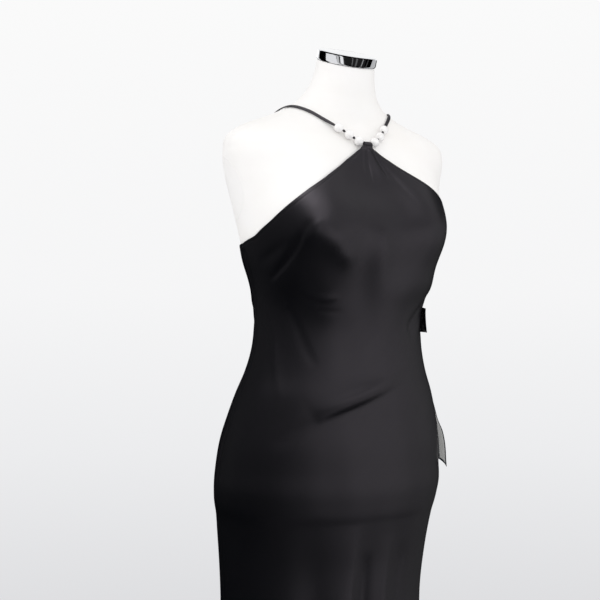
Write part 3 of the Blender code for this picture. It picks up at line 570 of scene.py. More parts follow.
def hump(distance, width):
    """A smooth hump of height 1 that is so wide to each side."""
    return np.exp(-(distance / width)**2)


def waved(length, waves):
    """Sum of some waves at a length. Each is a height, radians to a unit of it, and a phase."""
    return sum(height * np.sin(length * turns + phase) for height, turns, phase in waves)


# Mesh helpers


def placed(name, mesh):
    """One object of a mesh, with its ride."""
    item = bpy.data.objects.new(name, mesh)
    bpy.context.collection.objects.link(item)
    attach(item, "root")
    return item


def plain_mesh(name, points, faces=(), edges=()):
    """A mesh of some points and faces or edges."""
    mesh = bpy.data.meshes.new(name)
    mesh.from_pydata([tuple(map(float, point)) for point in points], edges, faces)
    return mesh


def add_piece(name, points, faces, material, slot, uv=None, sharp_over=50.0):
    """Make one object with outward faces, its material and its ride. The slot is not used."""
    mesh = plain_mesh(name, points, faces)
    if uv is not None:
        layer = mesh.uv_layers.new(name="UVMap")
        corners = np.empty(len(mesh.loops), dtype=np.int32)
        mesh.loops.foreach_get("vertex_index", corners)
        layer.data.foreach_set("uv", np.asarray(uv, dtype=np.float32)[corners].ravel())
    shape = bmesh.new()
    shape.from_mesh(mesh)
    bmesh.ops.recalc_face_normals(shape, faces=shape.faces)
    if shape.calc_volume(signed=True) < 0.0:
        bmesh.ops.reverse_faces(shape, faces=shape.faces)
    shape.to_mesh(mesh)
    shape.free()
    mesh.shade_smooth()
    mesh.set_sharp_from_angle(angle=math.radians(sharp_over))
    mesh.materials.append(material)
    return placed(name, mesh)


def sheet_to_solid(outer, inner):
    """Points and faces of a cloth piece from the grids of its two faces."""
    rows, columns = outer.shape[:2]
    spots = np.arange(rows * columns).reshape(rows, columns)
    quads = np.stack([spots[:-1, :-1], spots[:-1, 1:], spots[1:, 1:], spots[1:, :-1]], -1)
    both_faces = np.stack([quads, quads[..., ::-1] + spots.size], 2).reshape(-1, 4)
    border = np.concatenate([spots[0], spots[1:, -1], spots[-1, -2::-1], spots[-2:0:-1, 0]])
    after = np.roll(border, -1)
    walls = np.stack([after, border, border + spots.size, after + spots.size], -1)
    faces = np.concatenate([both_faces, walls]).tolist()
    return np.concatenate([outer.reshape(-1, 3), inner.reshape(-1, 3)]), faces


def rings_to_solid(rings, looped=False):
    """Points and faces of a body through rings, with flat ends or its ends joined in a loop."""
    rings = np.asarray(rings)
    count, around = rings.shape[:2]
    spots = np.arange(count * around).reshape(count, around)
    after = np.roll(spots, -1, axis=0)
    quads = np.stack([spots, np.roll(spots, -1, axis=1), np.roll(after, -1, axis=1), after], -1)
    faces = quads[:count if looped else count - 1].reshape(-1, 4).tolist()
    if not looped:
        faces += [spots[0].tolist(), spots[-1].tolist()]
    return rings.reshape(-1, 3), faces


def turned_rings(profile, around):
    """Rings of a turned body about the Z axis."""
    return np.array([[(radius * math.cos(turn), radius * math.sin(turn), height)
                      for turn in full_turn(around)] for radius, height in profile])


def aimed(rings, run, centre):
    """Rings about the Z axis, turned along a direction and moved to a centre."""
    turn = Vector((0.0, 0.0, 1.0)).rotation_difference(Vector(run)).to_matrix()
    return rings @ np.array(turn).T + centre


def joined(parts):
    """Points and faces of several bodies as one list."""
    points, faces, offset = [], [], 0
    for part_points, part_faces in parts:
        points.append(part_points)
        faces += [[corner + offset for corner in face] for face in part_faces]
        offset += len(part_points)
    return np.concatenate(points), faces


# Materials


def node(tree, kind, **values):
    """A new node with its values set, as dress does it."""
    return dress(tree, tree.nodes.new(kind), **values)


def dress(tree, made, **values):
    """Set a node's inputs and properties. An input may be given another node's output."""
    for key, value in values.items():
        spot = made.inputs.get(key.replace("_", " "))
        if spot is None:
            setattr(made, key, value)
        elif isinstance(value, bpy.types.NodeSocket):
            tree.links.new(value, spot)
        else:
            spot.default_value = value
    return made


def noise(tree, place, scale, detail, roughness=0.5):
    """A cloudy value over a place."""
    made = node(tree, "ShaderNodeTexNoise", Vector=place, Scale=scale, Detail=detail,
                Roughness=roughness)
    return made.outputs["Fac"]


def stretched(tree, place, scale=(1.0, 1.0, 1.0), turn_deg=0.0):
    """A place turned and stretched."""
    made = node(tree, "ShaderNodeMapping", Vector=place, Scale=scale,
                Rotation=(0.0, 0.0, math.radians(turn_deg)))
    return made.outputs["Vector"]


def ranged(tree, value, low, high):
    """A value from 0 to 1 brought between two others."""
    return node(tree, "ShaderNodeMapRange", Value=value, To_Min=low, To_Max=high).outputs["Result"]


def ramped(tree, value, stops):
    """A colour from a value, through stops that are a position and a tone."""
    ramp = node(tree, "ShaderNodeValToRGB", Fac=value)
    elements = ramp.color_ramp.elements
    for number, (position, tone) in enumerate(stops):
        stop = elements[number] if number < 2 else elements.new(position)
        stop.position = position
        stop.color = (*tone, 1.0)
    return ramp.outputs["Color"]


def toned(tree, value, colour, darker, dark_at=0.0, full_at=1.0):
    """A colour that goes from its darker tone to its full one with a value."""
    dark = [part * factor for part, factor in zip(colour, darker)]
    return ramped(tree, value, ((dark_at, dark), (full_at, colour)))


def bumped(tree, value, strength, distance, **under):
    """A surface raised by a value, over another such surface if one is given."""
    made = node(tree, "ShaderNodeBump", Height=value, Strength=strength, Distance=distance, **under)
    return made.outputs["Normal"]


def new_material(name):
    """An empty node material, its tree and its shader."""
    material = bpy.data.materials.new(name)
    material.use_nodes = True
    return material, material.node_tree, material.node_tree.nodes["Principled BSDF"]


def satin_material(name, colour, roughness, weave_depth, bias_deg=45.0):
    """Satin of long floats of thread, turned to some bias, with a faint cloudy variation."""
    material, tree, shader = new_material(name)
    place = node(tree, "ShaderNodeUVMap", uv_map="UVMap").outputs["UV"]
    turned = stretched(tree, place, turn_deg=bias_deg)
    floats = noise(tree, stretched(tree, turned, (2600.0, 420.0, 1.0)), 1.0, 2.0, 0.6)
    slubs = noise(tree, stretched(tree, turned, (160.0, 14.0, 1.0)), 1.0, 3.0, 0.55)
    mixed = node(tree, "ShaderNodeMix", data_type="RGBA", blend_type="MULTIPLY", Factor=1.0)
    mixed.inputs[6].default_value = (*colour, 1.0)
    tree.links.new(ranged(tree, noise(tree, place, 9.0, 3.0), 0.85, 1.15), mixed.inputs[7])
    threads = bumped(tree, floats, 0.30, weave_depth)
    dress(tree, shader, Base_Color=mixed.outputs[2], Specular_IOR_Level=0.80,
          Specular_Tint=(1.0, 0.91, 1.02, 1.0),
          Roughness=ranged(tree, slubs, roughness - 0.05, roughness + 0.05),
          Normal=bumped(tree, slubs, 0.25, weave_depth * 2.0, Normal=threads))
    return material


def cover_material(name, colour):
    """Matte white cover of the form, a fine knit with faint handling marks."""
    material, tree, shader = new_material(name)
    place = node(tree, "ShaderNodeTexCoord").outputs["Object"]
    cloud = noise(tree, place, 7.0, 4.0, 0.55)
    dress(tree, shader, Base_Color=toned(tree, cloud, colour, (0.97, 0.96, 0.945), 0.30, 0.62),
          Roughness=ranged(tree, cloud, 0.62, 0.80), Specular_IOR_Level=0.25,
          Normal=bumped(tree, noise(tree, place, 900.0, 1.0), 0.18, 0.0002))
    return material


def chrome_material(name, colour, roughness):
    """Polished chrome with fine turning marks and faint smears."""
    material, tree, shader = new_material(name)
    place = node(tree, "ShaderNodeTexCoord").outputs["Object"]
    smear = noise(tree, place, 26.0, 4.0, 0.6)
    marks = noise(tree, stretched(tree, place, (4.0, 4.0, 1500.0)), 1.0, 1.0)
    dress(tree, shader, Base_Color=toned(tree, smear, colour, (0.93, 0.93, 0.94)), Metallic=1.0,
          Roughness=ranged(tree, smear, roughness, roughness + 0.06),
          Normal=bumped(tree, marks, 0.05, 0.00005))
    return material


def pearl_material(name, colour):
    """White pearl bead with a faint cloudy lustre and an uneven skin."""
    material, tree, shader = new_material(name)
    place = node(tree, "ShaderNodeTexCoord").outputs["Object"]
    cloud = noise(tree, place, 160.0, 3.0, 0.55)
    dress(tree, shader, Base_Color=toned(tree, cloud, colour, (0.87, 0.87, 0.87), 0.34, 0.66),
          Roughness=0.28, Coat_Weight=0.5, Coat_Roughness=0.15,
          Normal=bumped(tree, cloud, 0.35, 0.0006))
    return material


def floor_material(name, colour, solid_to, gone_at):
    """Plain pale studio floor with a faint mottle, melting into the backdrop at its rim."""
    material, tree, shader = new_material(name)
    place = node(tree, "ShaderNodeTexCoord").outputs["Object"]
    reach = node(tree, "ShaderNodeVectorMath", operation="LENGTH")
    tree.links.new(place, reach.inputs[0])
    rim = node(tree, "ShaderNodeMapRange", interpolation_type="SMOOTHSTEP", From_Min=solid_to,
               From_Max=gone_at, To_Min=1.0, To_Max=0.0, Value=reach.outputs["Value"])
    dress(tree, shader, Roughness=0.7, Alpha=rim.outputs["Result"],
          Base_Color=toned(tree, noise(tree, place, 3.0, 5.0), colour, (0.97, 0.97, 0.97)))
    return material


def material_for(context, kind):
    """The material of one kind, made once from the settings."""
    name = "halter_" + kind
    found = bpy.data.materials.get(name)
    if found:
        return found
    looks = context.scene.halter_colours
    satin_rough = looks.satin_roughness
    makers = {
        "satin": lambda: satin_material(name, looks.satin, satin_rough, 0.00006),
        "strap_satin": lambda: satin_material(name, looks.strap, satin_rough + 0.06, 0.00008, 20.0),
        # the paler colour of the long tie's face is painted sheen
        "tie_sheen_satin": lambda: satin_material(name, looks.tie_sheen_colour, 0.34, 0.00006, 0.0),
        "thread": lambda: satin_material(name, looks.strap, 0.55, 0.00008, 0.0),
        "cover": lambda: cover_material(name, looks.cover),
        "pearl": lambda: pearl_material(name, looks.pearl),
        "chrome": lambda: chrome_material(name, looks.chrome, 0.05),
        "floor": lambda: floor_material(name, looks.floor, 0.7, 2.0),
    }
    return makers[kind]()


# Cloth panels

# Columns, as stretches of angle: from, to, number of steps.
FRONT_COLUMNS = ((-93.0, -24.0, 40), (-24.0, -8.0, 20), (-8.0, 12.0, 44), (12.0, 27.0, 18),
                 (27.0, 93.0, 38))
BACK_COLUMNS = ((101.0, 259.0, 110),)
SEAM_COLUMNS = 5                    # steps from a panel's last stretch to its side seam
# Rows: those just under the top edge, then down to each height in so many steps, then those
# just over the hem.
TOP_ROWS = np.array([0.0, 0.0003, 0.0008, 0.0016, 0.0028, 0.0042, 0.0050, 0.0055, 0.0060, 0.0070,
                     0.0090, 0.0120])
FRONT_ROWS = ((0.800, 150), (0.620, 40), (HEM_HEIGHT + 0.019, 52))
BACK_ROWS = ((0.800, 120), (0.620, 40), (HEM_HEIGHT + 0.019, 52))
HEM_ROWS = np.array([0.0165, 0.0140, 0.0115, 0.0070, 0.0030, 0.0014, 0.0006, 0.0])
FRONT_SOFTENED_DEG = 3.0            # how far the corners of a top edge are rounded
BACK_SOFTENED_DEG = 4.0
NECK_POINT_DEG = 2.0                # the neck point, which stays sharp to each side
NECK_POINT_HALF_DEG = 12.0
EDGE_FADE = {"over": 0.004, "least": 0.25}     # creases fade out towards the top edge


def column_angles(parts):
    """Angles of the columns: each part is a first angle, a last angle and a number of steps."""
    angles = [np.linspace(first, last, count, endpoint=False) for first, last, count in parts]
    return np.concatenate(angles + [[parts[-1][1]]])


def panel_rows(top, spans):
    """Heights of the rows under a top edge, close together at the edges and above the knee."""
    rows = [top - away for away in TOP_ROWS]
    for floor_height, count in spans:
        rows += list(np.linspace(rows[-1], np.full_like(top, floor_height), count + 1)[1:])
    rows += [np.full_like(top, HEM_HEIGHT + above) for above in HEM_ROWS]
    return np.array(rows)


def panel_grids(angles, top, rows, creases, sizes):
    """Outer and inner grid of a panel, with its creases, hems and rolled seam edges."""
    grid = np.broadcast_to(angles, rows.shape)
    slope = np.gradient(top, np.radians(angles) * CREASE_ARC)
    below = (top - rows) / np.sqrt(1.0 + slope**2)
    relief = fine_relief(grid, rows, creases) * sizes.crease_depth
    relief = relief * np.clip(below / EDGE_FADE["over"], EDGE_FADE["least"], 1.0)
    relief -= TOP_HEM["groove"] * hump(below - TOP_HEM["band"], TOP_HEM["groove_width"])
    over_hem = rows - HEM_HEIGHT - BOTTOM_HEM["band"]
    relief += BOTTOM_HEM["ridge"] * hump(over_hem, BOTTOM_HEM["ridge_width"])
    from_seam = np.minimum(np.abs(grid - angles[0]), np.abs(grid - angles[-1]))
    roll = SEAM_ROLL["depth"] * hump(np.radians(from_seam) * CREASE_ARC, SEAM_ROLL["width"])
    roll += TOP_HEM["roll"] * hump(below, TOP_HEM["roll_width"])
    outer_out = CLOTH_WALL + relief - roll
    inner_out = outer_out - sizes.cloth_thickness + INNER_ROLL_SHARE * roll
    outer = worn_point(grid, rows, outer_out, FORM_CLEARANCE + sizes.cloth_thickness)
    return outer + MODEL_SHIFT, worn_point(grid, rows, inner_out, FORM_CLEARANCE) + MODEL_SHIFT


def panel_uv(outer):
    """Map of a panel's two faces in metres, across from its middle and down from its top."""
    steps = np.linalg.norm(np.diff(outer, axis=1, prepend=outer[:, :1]), axis=2)
    across = np.cumsum(steps, axis=1)
    across = across - across[:, [across.shape[1] // 2]]
    down = np.cumsum(np.linalg.norm(np.diff(outer, axis=0, prepend=outer[:1]), axis=2), axis=0)
    level = down + outer[0, :, 2].max() - outer[0, :, 2]
    flat = np.stack([across, -level], -1).reshape(-1, 2)
    return np.concatenate([flat, flat])


def add_panel(context, name, replaced, angles, top, spans, creases):
    """One fine panel of the gown in place of its plain solid."""
    outer, inner = panel_grids(angles, top, panel_rows(top, spans), creases,
                               context.scene.halter_sizes)
    piece = add_piece(name, *sheet_to_solid(outer, inner), material_for(context, "satin"), "satin",
                      uv=panel_uv(outer), sharp_over=60.0)
    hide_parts(replaced)
    return piece


class HALTER_OT_front(bpy.types.Operator):
    """Make the front of the gown, from the neck point to the hem"""
    bl_idname = "halter_gown.front"
    bl_label = "Front panel"

    def execute(self, context):
        edge = SIDE_SEAM_DEG - math.degrees(0.5 * SEAM_OPENS / CREASE_ARC)
        angles = column_angles([(-edge, FRONT_COLUMNS[0][0], SEAM_COLUMNS), *FRONT_COLUMNS,
                                (FRONT_COLUMNS[-1][1], edge, SEAM_COLUMNS)])
        top = np.where(np.abs(angles - NECK_POINT_DEG) < NECK_POINT_HALF_DEG, front_top(angles),
                       softened(front_top, angles, FRONT_SOFTENED_DEG))
        piece = add_panel(context, "gown_front", "front_panel", angles, top, FRONT_ROWS,
                          FRONT_CREASES)
        return {"FINISHED"}


class HALTER_OT_back(bpy.types.Operator):
    """Make the back of the gown, from its low top edge to the hem"""
    bl_idname = "halter_gown.back"
    bl_label = "Back panel"

    def execute(self, context):
        edge = SIDE_SEAM_DEG + math.degrees(0.5 * SEAM_OPENS / CREASE_ARC)
        angles = column_angles([(edge, BACK_COLUMNS[0][0], SEAM_COLUMNS), *BACK_COLUMNS,
                                (BACK_COLUMNS[-1][1], 360.0 - edge, SEAM_COLUMNS)])
        top = softened(back_top, angles, BACK_SOFTENED_DEG)
        piece = add_panel(context, "gown_back", "back_panel", angles, top, BACK_ROWS, BACK_CREASES)
        return {"FINISHED"}


# Ties

TIE_COLUMNS = 19
TIE_WALL = 0.0012
TIE_TURNED = 3                      # columns at each edge, and rows at the end, that are turned
TIE_MIDDLE_SHARE = 0.62             # of the wall, between the turned edges
TIE_RIM_SHARE = 0.55                # of the wall, at the very edge


def tie_grids(table, rows):
    """Outer and inner grid of a tie end, with turned edges a little thicker than the middle."""
    edges = smooth_line(table, rows)
    share = np.linspace(0.0, 1.0, TIE_COLUMNS)[None, :]
    height, angle, off = (edges[:, [part]] * (1.0 - share) + edges[:, [part + 3]] * share
                          for part in range(3))
    lift = CLOTH_WALL + SEAM_GAP + np.maximum(off, TIE_LEAST_OFF) + TIE_SEAT
    inner = worn_point(angle, height, lift) + MODEL_SHIFT
    from_edge = np.minimum(share, 1.0 - share) * (TIE_COLUMNS - 1)
    turned = np.where(from_edge <= TIE_TURNED, 1.0, TIE_MIDDLE_SHARE)
    turned = np.where(from_edge <= 0.0, TIE_RIM_SHARE, turned) * np.ones_like(height)
    return inner + surface_normal(GOWN, angle, height) * (TIE_WALL * turned)[..., None], inner


class HALTER_OT_ties(bpy.types.Operator):
    """Make the short and the long tie end in the left side seam"""
    bl_idname = "halter_gown.ties"
    bl_label = "Tie ends"

    def execute(self, context):
        for name, replaced, table, rows, flat, area in (
                ("tie_short", "tie_short_end", TIE_SHORT, 40, (0.055, 0.044), 0.0022),
                ("tie_long", "tie_long_end", TIE_LONG, 150, (0.050, 0.290), 0.0115)):
            outer, inner = tie_grids(table, rows)
            piece = add_piece(name, *sheet_to_solid(outer, inner), material_for(context, "satin"),
                              "satin", uv=panel_uv(outer))
            # the middle of the long tie gets a paler satin: painted sheen
            if name == "tie_long":
                piece.data.materials.append(material_for(context, "tie_sheen_satin"))
                paint_tie_sheen(piece.data, rows)
            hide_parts(replaced)
        return {"FINISHED"}


def paint_tie_sheen(mesh, rows):
    """Give the middle of the tie's two faces the paler satin, whose paler colour is painted sheen,
    and leave the turned edges in the gown's black satin.
    """
    for polygon in mesh.polygons:
        corners = [corner % (rows * TIE_COLUMNS) for corner in polygon.vertices]
        sides = {corner % TIE_COLUMNS for corner in corners}
        levels = {corner // TIE_COLUMNS for corner in corners}
        inside = TIE_TURNED <= min(sides) and max(sides) < TIE_COLUMNS - TIE_TURNED \
            and max(levels) < rows - TIE_TURNED
        polygon.material_index = int(inside and len(sides) > 1 and len(levels) > 1)


# Strap, casing and beads


def surface_hit(tree, origin, direction):
    """Where a line from inside leaves the form, and the outward direction there."""
    place, normal, _, _ = tree.ray_cast(Vector(origin), Vector(direction))
    if place is None:
        raise RuntimeError("a strap point misses the form")
    normal = np.array(normal)
    return np.array(place), normal if np.dot(normal, direction) >= 0.0 else -normal


def path_length(points):
    """Length along some points up to each of them."""
    steps = np.linalg.norm(np.diff(points, axis=0), axis=1)
    return np.concatenate([[0.0], np.cumsum(steps)])


def casing_spot():
    """Middle of the casing, seated on the top edge of the front, and the outward direction."""
    angle = np.array([CASING_DEG, CASING_DEG])
    level = np.array(CASING_EDGE_HEIGHTS)
    edge, under = gown_point(angle, level, 0.5 * CLOTH_WALL)
    place = edge + unit(edge - under) * (CASING_OUTER_RADIUS + 1.5 * SEAM_GAP)
    return place, surface_normal(GOWN, angle, level)[0]


def lifted(tree, place, least):
    """A place moved out of the form until it is at least so far from its surface."""
    near, normal, _, _ = tree.find_nearest(Vector(place))
    normal = np.array(normal)
    return place + normal * max(least - np.dot(place - np.array(near), normal), 0.0)


def bead_spots_on(tree, side, spots):
    """Points of the neck cord in front of the form, with their outward directions."""
    hits = [surface_hit(tree, (APEX_X + side * across, 0.0, height), (0.0, -1.0, 0.0))
            for across, height in spots]
    return [(place + normal * (BEAD_RADIUS + BEAD_SEAT), normal) for place, normal in hits]


def strap_points(tree, side, track):
    """Centre points and outward directions of one side of the halter strap."""
    spots = []
    for x, turn in track:
        reach = math.radians(turn)
        origin = (side * x, STRAP_ORIGIN_Y, STRAP_ORIGIN_Z)
        place, normal = surface_hit(tree, origin, (0.0, -math.cos(reach), math.sin(reach)))
        spots.append((place + normal * (STRAP_HALF_THICKNESS + STRAP_SEAT), normal))
    angle = np.array([side * STRAP_END_DEG])
    level = np.interp([STRAP_END_DEG], *BACK_TOP.T) + STRAP_END_LIFT
    spots.append((gown_point(angle, level, 0.5 * CLOTH_WALL)[0],
                  surface_normal(GOWN, angle, level)[0]))
    return spots


def straight_through(before, threaded, after):
    """Three points in line for each threaded piece, so the cord is straight inside it."""
    places = [before] + threaded + [after]
    chain = []
    for (first, _), (place, normal), (last, _) in zip(places, places[1:], places[2:]):
        run = unit(last - first) * THREADED_HALF_LENGTH
        chain += [(place - run, normal), (place, normal), (place + run, normal)]
    return chain


def form_rings(ring_points, heights):
    """Rings of the form's surface, as fine as asked for."""
    turn = np.linspace(-180.0, 180.0, ring_points, endpoint=False)
    return np.array([section_point(FORM, turn, height) for height in heights])


def form_tree(ring_points, heights):
    """Surface of the form for finding places on it, as fine as asked for."""
    points, faces = rings_to_solid(form_rings(ring_points, heights))
    shape = bmesh.new()
    corners = [shape.verts.new(tuple(map(float, point))) for point in points]
    for face in faces:
        shape.faces.new([corners[corner] for corner in face])
    bmesh.ops.recalc_face_normals(shape, faces=shape.faces)
    tree = BVHTree.FromBMesh(shape)
    shape.free()
    return tree


@functools.cache
def neck_layout():
    """The whole path of the strap, and where its beads and its casing are."""
    tree = form_tree(FORM_RING_POINTS, FORM_HEIGHTS)
    right_beads = bead_spots_on(tree, -1.0, RIGHT_BEAD_SPOTS)[::-1]
    threaded = right_beads + [casing_spot()] + bead_spots_on(tree, 1.0, LEFT_BEAD_SPOTS)
    right_strap = strap_points(tree, -1.0, RIGHT_STRAP_TRACK)[::-1]
    left_strap = strap_points(tree, 1.0, LEFT_STRAP_TRACK)
    chain = right_strap + straight_through(right_strap[-1], threaded, left_strap[0]) + left_strap
    bead_spots = [len(right_strap) + 3 * number + 1 for number in range(len(threaded))]
    middle = bead_spots.pop(len(right_beads))
    points, normals = (np.array(part) for part in zip(*chain))
    return {"points": points, "normals": normals, "middle": middle, "beads": bead_spots}


def strap_path(layout):
    """Fine points, outward directions and lengths of the strap from end to end."""
    points, spots = layout["points"], layout["beads"]
    along = path_length(points)
    unbeaded = along[spots[0]] - BEAD_RADIUS - CORD_NARROWS
    beaded = along[spots[-1]] + BEAD_RADIUS + CORD_NARROWS
    ends = along[spots[0] - 1:spots[-1] + 2]
    cord = np.linspace(ends[:-1], ends[1:], CORD_STEPS, endpoint=False)
    cord = np.concatenate([*cord.T, ends[-1:]])
    wanted = np.concatenate([np.linspace(0.0, unbeaded, STRAP_STEPS), cord,
                             np.linspace(beaded, along[-1], STRAP_STEPS)])
    straight, facing = (np.array([np.interp(wanted, along, part) for part in of_all.T]).T
                        for of_all in (points, layout["normals"]))
    threaded = (wanted >= ends[0]) & (wanted <= ends[-1])
    path = np.where(threaded[:, None], straight, smooth_through(along, points, wanted))
    fine_form = form_tree(*FINE_FORM)
    for spot in np.nonzero(~threaded)[0]:
        path[spot] = lifted(fine_form, path[spot], STRAP_HALF_THICKNESS + STRAP_SEAT)
    return path, facing, wanted, unbeaded, beaded


class HALTER_OT_strap(bpy.types.Operator):
    """Make the halter strap with its knotted neck cord"""
    bl_idname = "halter_gown.strap"
    bl_label = "Halter strap"

    def execute(self, context):
        layout = neck_layout()
        path, facing, wanted, first, last = strap_path(layout)
        beyond = np.maximum(first - wanted, wanted - last) + CORD_NARROWS
        share = np.clip(beyond / CORD_NARROWS, 0.0, 1.0)[:, None]
        waver = 1.0 + share * waved(wanted[:, None], STRAP_WAVER)
        wide = (CORD_RADIUS + (STRAP_HALF_WIDTH - CORD_RADIUS) * share) * waver
        thick = CORD_RADIUS + (STRAP_HALF_THICKNESS - CORD_RADIUS) * share
        along = unit(np.concatenate([path[1:], path[-1:]]) - np.concatenate([path[:1], path[:-1]]))
        normal = unit(facing - along * np.sum(facing * along, axis=1, keepdims=True))
        across = np.cross(along, normal)
        turn = full_turn(STRAP_SIDES)[None, :]
        seam = 1.0 - STRAP_SEAM["depth"] * share * hump(turn - 1.5 * math.pi, STRAP_SEAM["width"])
        rings = path[:, None] + across[:, None] * (wide * np.cos(turn))[..., None] \
            + normal[:, None] * (thick * np.sin(turn) * seam)[..., None]
        knots = [cord_knot(*spot) for spot in self.knot_spots(layout)]
        points, faces = joined([rings_to_solid(rings)] + knots)
        uv = np.zeros((len(points), 2))
        on_strap = len(path) * STRAP_SIDES
        uv[:on_strap, 0] = np.tile(UV_STEPS["strap"] * np.arange(STRAP_SIDES), len(path))
        uv[:on_strap, 1] = np.repeat(wanted, STRAP_SIDES)
        piece = add_piece("strap", points + MODEL_SHIFT, faces, material_for(context, "thread"),
                          "satin", uv=uv)
        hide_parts("halter_strap")
        return {"FINISHED"}

    def knot_spots(self, layout):
        """Middle and direction of each knot between two beads of one side."""
        points, spots = layout["points"], layout["beads"]
        for first, second in ((0, 1), (1, 2), (3, 4), (4, 5)):
            start, end = points[spots[first] + 1], points[spots[second] - 1]
            yield 0.5 * (start + end), end - start


def cord_knot(centre, run):
    """A small overhand knot, a ball with a slanting wrap round it."""
    level = np.linspace(KNOT["pole"], math.pi - KNOT["pole"], KNOT_RINGS)[:, None]
    turn = full_turn(KNOT_SIDES)[None, :]
    wrap = 1.0 + KNOT["wrap"] * np.sin(2.0 * turn + 3.0 * np.cos(level))
    out = KNOT["radius"] * wrap * np.sin(level)
    rings = np.stack([out * np.cos(turn), out * np.sin(turn),
                      -KNOT["half_length"] * np.cos(level) + 0.0 * turn], -1)
    return rings_to_solid(aimed(rings, run, centre))


class HALTER_OT_casing(bpy.types.Operator):
    """Make the gathered casing that the cord runs through"""
    bl_idname = "halter_gown.casing"
    bl_label = "Neck casing"

    def execute(self, context):
        layout = neck_layout()
        points, middle = layout["points"], layout["middle"]
        run, centre = points[middle + 1] - points[middle - 1], points[middle]
        lengths = np.linspace(-CASING_HALF_LENGTH, CASING_HALF_LENGTH, CASING_RINGS)
        inner, chamfer = CASING_OUTER_RADIUS - CASING_WALL, CASING_CHAMFER
        ends = [(inner + chamfer[0], CASING_HALF_LENGTH), (inner, CASING_HALF_LENGTH - chamfer[1])]
        profile = [(self.gathered(length), length) for length in lengths] + ends
        profile += [(radius, -length) for radius, length in ends[::-1]]
        rings = turned_rings(profile, CASING_SIDES)
        tube = rings_to_solid(aimed(rings, run, centre), looped=True)
        body, faces = joined([tube, self.turning(centre, unit(run))])
        around = np.arange(rings.shape[0] * rings.shape[1])
        rest = np.arange(len(body) - len(around))
        rest = np.stack([rest % TURNING_COLUMNS, rest // TURNING_COLUMNS], -1)
        around = UV_STEPS["casing"] * (around % CASING_SIDES)
        around = np.stack([around, rings[..., 2].ravel()], -1)
        uv = np.concatenate([around, UV_STEPS["turning"] * rest])
        piece = add_piece("casing", body + MODEL_SHIFT, faces, material_for(context, "strap_satin"),
                          "satin", uv=uv)
        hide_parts("neck_casing")
        return {"FINISHED"}

    def turning(self, centre, run):
        """The casing's turning, from the front of the tube down over the top of the front."""
        share = np.linspace(0.0, 1.0, TURNING_COLUMNS)
        angle = TURNING["from_deg"] + share * TURNING["wide_deg"]
        foot, knee = (worn_point(angle, np.full_like(angle, height), CLOTH_WALL + off)
                      for height, off in (TURNING["foot"], TURNING["knee"]))
        normal = surface_normal(GOWN, np.array([CASING_DEG]), np.array(TURNING["knee"][:1]))[0]
        side = (2.0 * share - 1.0) * (CASING_HALF_LENGTH - SEAM_GAP)
        head = centre + run * side[:, None] + normal * (CASING_OUTER_RADIUS - TURNING["tucked"])
        pucker = waved(share, TURNING_PUCKERS)
        outer = []
        for down in np.linspace(0.0, 1.0, TURNING_ROWS):
            place = (1 - down)**2 * head + 2 * down * (1 - down) * knee + down**2 * foot
            puckered = pucker * math.sin(math.pi * min(down + TURNING["early"], 1.0))
            outer.append(place + normal * puckered[:, None])
        outer = np.array(outer)
        return sheet_to_solid(outer, outer - normal * TURNING["wall"])

    def gathered(self, length):
        """Radius of the casing at a length, puckered by the cord inside."""
        end = GATHERS["end"] * hump(abs(length) - CASING_HALF_LENGTH, GATHERS["end_width"])
        return CASING_OUTER_RADIUS - GATHERS["all"] + waved(length, CASING_PUCKERS) - end


class HALTER_OT_beads(bpy.types.Operator):
    """Make the six pearl beads of the neck cord"""
    bl_idname = "halter_gown.beads"
    bl_label = "Beads"

    def execute(self, context):
        layout = neck_layout()
        points = layout["points"]
        edge = math.asin(BEAD_HOLE_RADIUS / BEAD_RADIUS)
        profile = [(BEAD_RADIUS * math.sin(turn), -BEAD_RADIUS * math.cos(turn))
                   for turn in np.linspace(edge, math.pi - edge, BEAD_RINGS)]
        smooth = turned_rings(profile, BEAD_SIDES)
        swirl = np.arctan2(smooth[..., 1], smooth[..., 0])
        rise = smooth[..., 2] / BEAD_RADIUS
        edge_fade = np.clip((1.0 - np.abs(rise)) * BEAD_SKIN["edge_fade"], 0.0, 1.0)
        bodies = []
        for number, spot in enumerate(layout["beads"]):
            uneven = BEAD_SKIN["wave"] * np.sin(3.0 * swirl + 4.0 * rise + number) \
                + BEAD_SKIN["ripple"] * np.sin(7.0 * swirl - 6.0 * rise + 2.0 * number) \
                - BEAD_SKIN["all"]
            rings = smooth.copy()
            rings[..., :2] *= (1.0 + uneven * edge_fade)[..., None]
            run = points[spot + 1] - points[spot - 1]
            bodies.append(rings_to_solid(aimed(rings, run, points[spot]), looped=True))
        body, faces = joined(bodies)
        piece = add_piece("beads", body + MODEL_SHIFT, faces, material_for(context, "pearl"),
                          "pearl")
        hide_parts("bead_right_outer", "bead_right_middle", "bead_right_inner",
                    "bead_left_inner", "bead_left_middle", "bead_left_outer")
        return {"FINISHED"}


# Form and stand

FORM_COLUMNS = 180
FORM_ROWS = np.concatenate([np.linspace(0.792, 0.836, 16)[:-1], np.linspace(0.836, 1.360, 110),
                            np.linspace(1.360, 1.539, 90)[1:]])
ARM_SEAM = {"deg": 106.0, "half_deg": 22.0, "height": 1.326, "half_height": 0.055,
            "half_width": 0.0007, "stands": 0.0004}
ARM_SEAM_POINTS = 120
ARM_SEAM_SIDES = 8
NECK_CAP_SIDES = 96
POLE_Y = 0.040
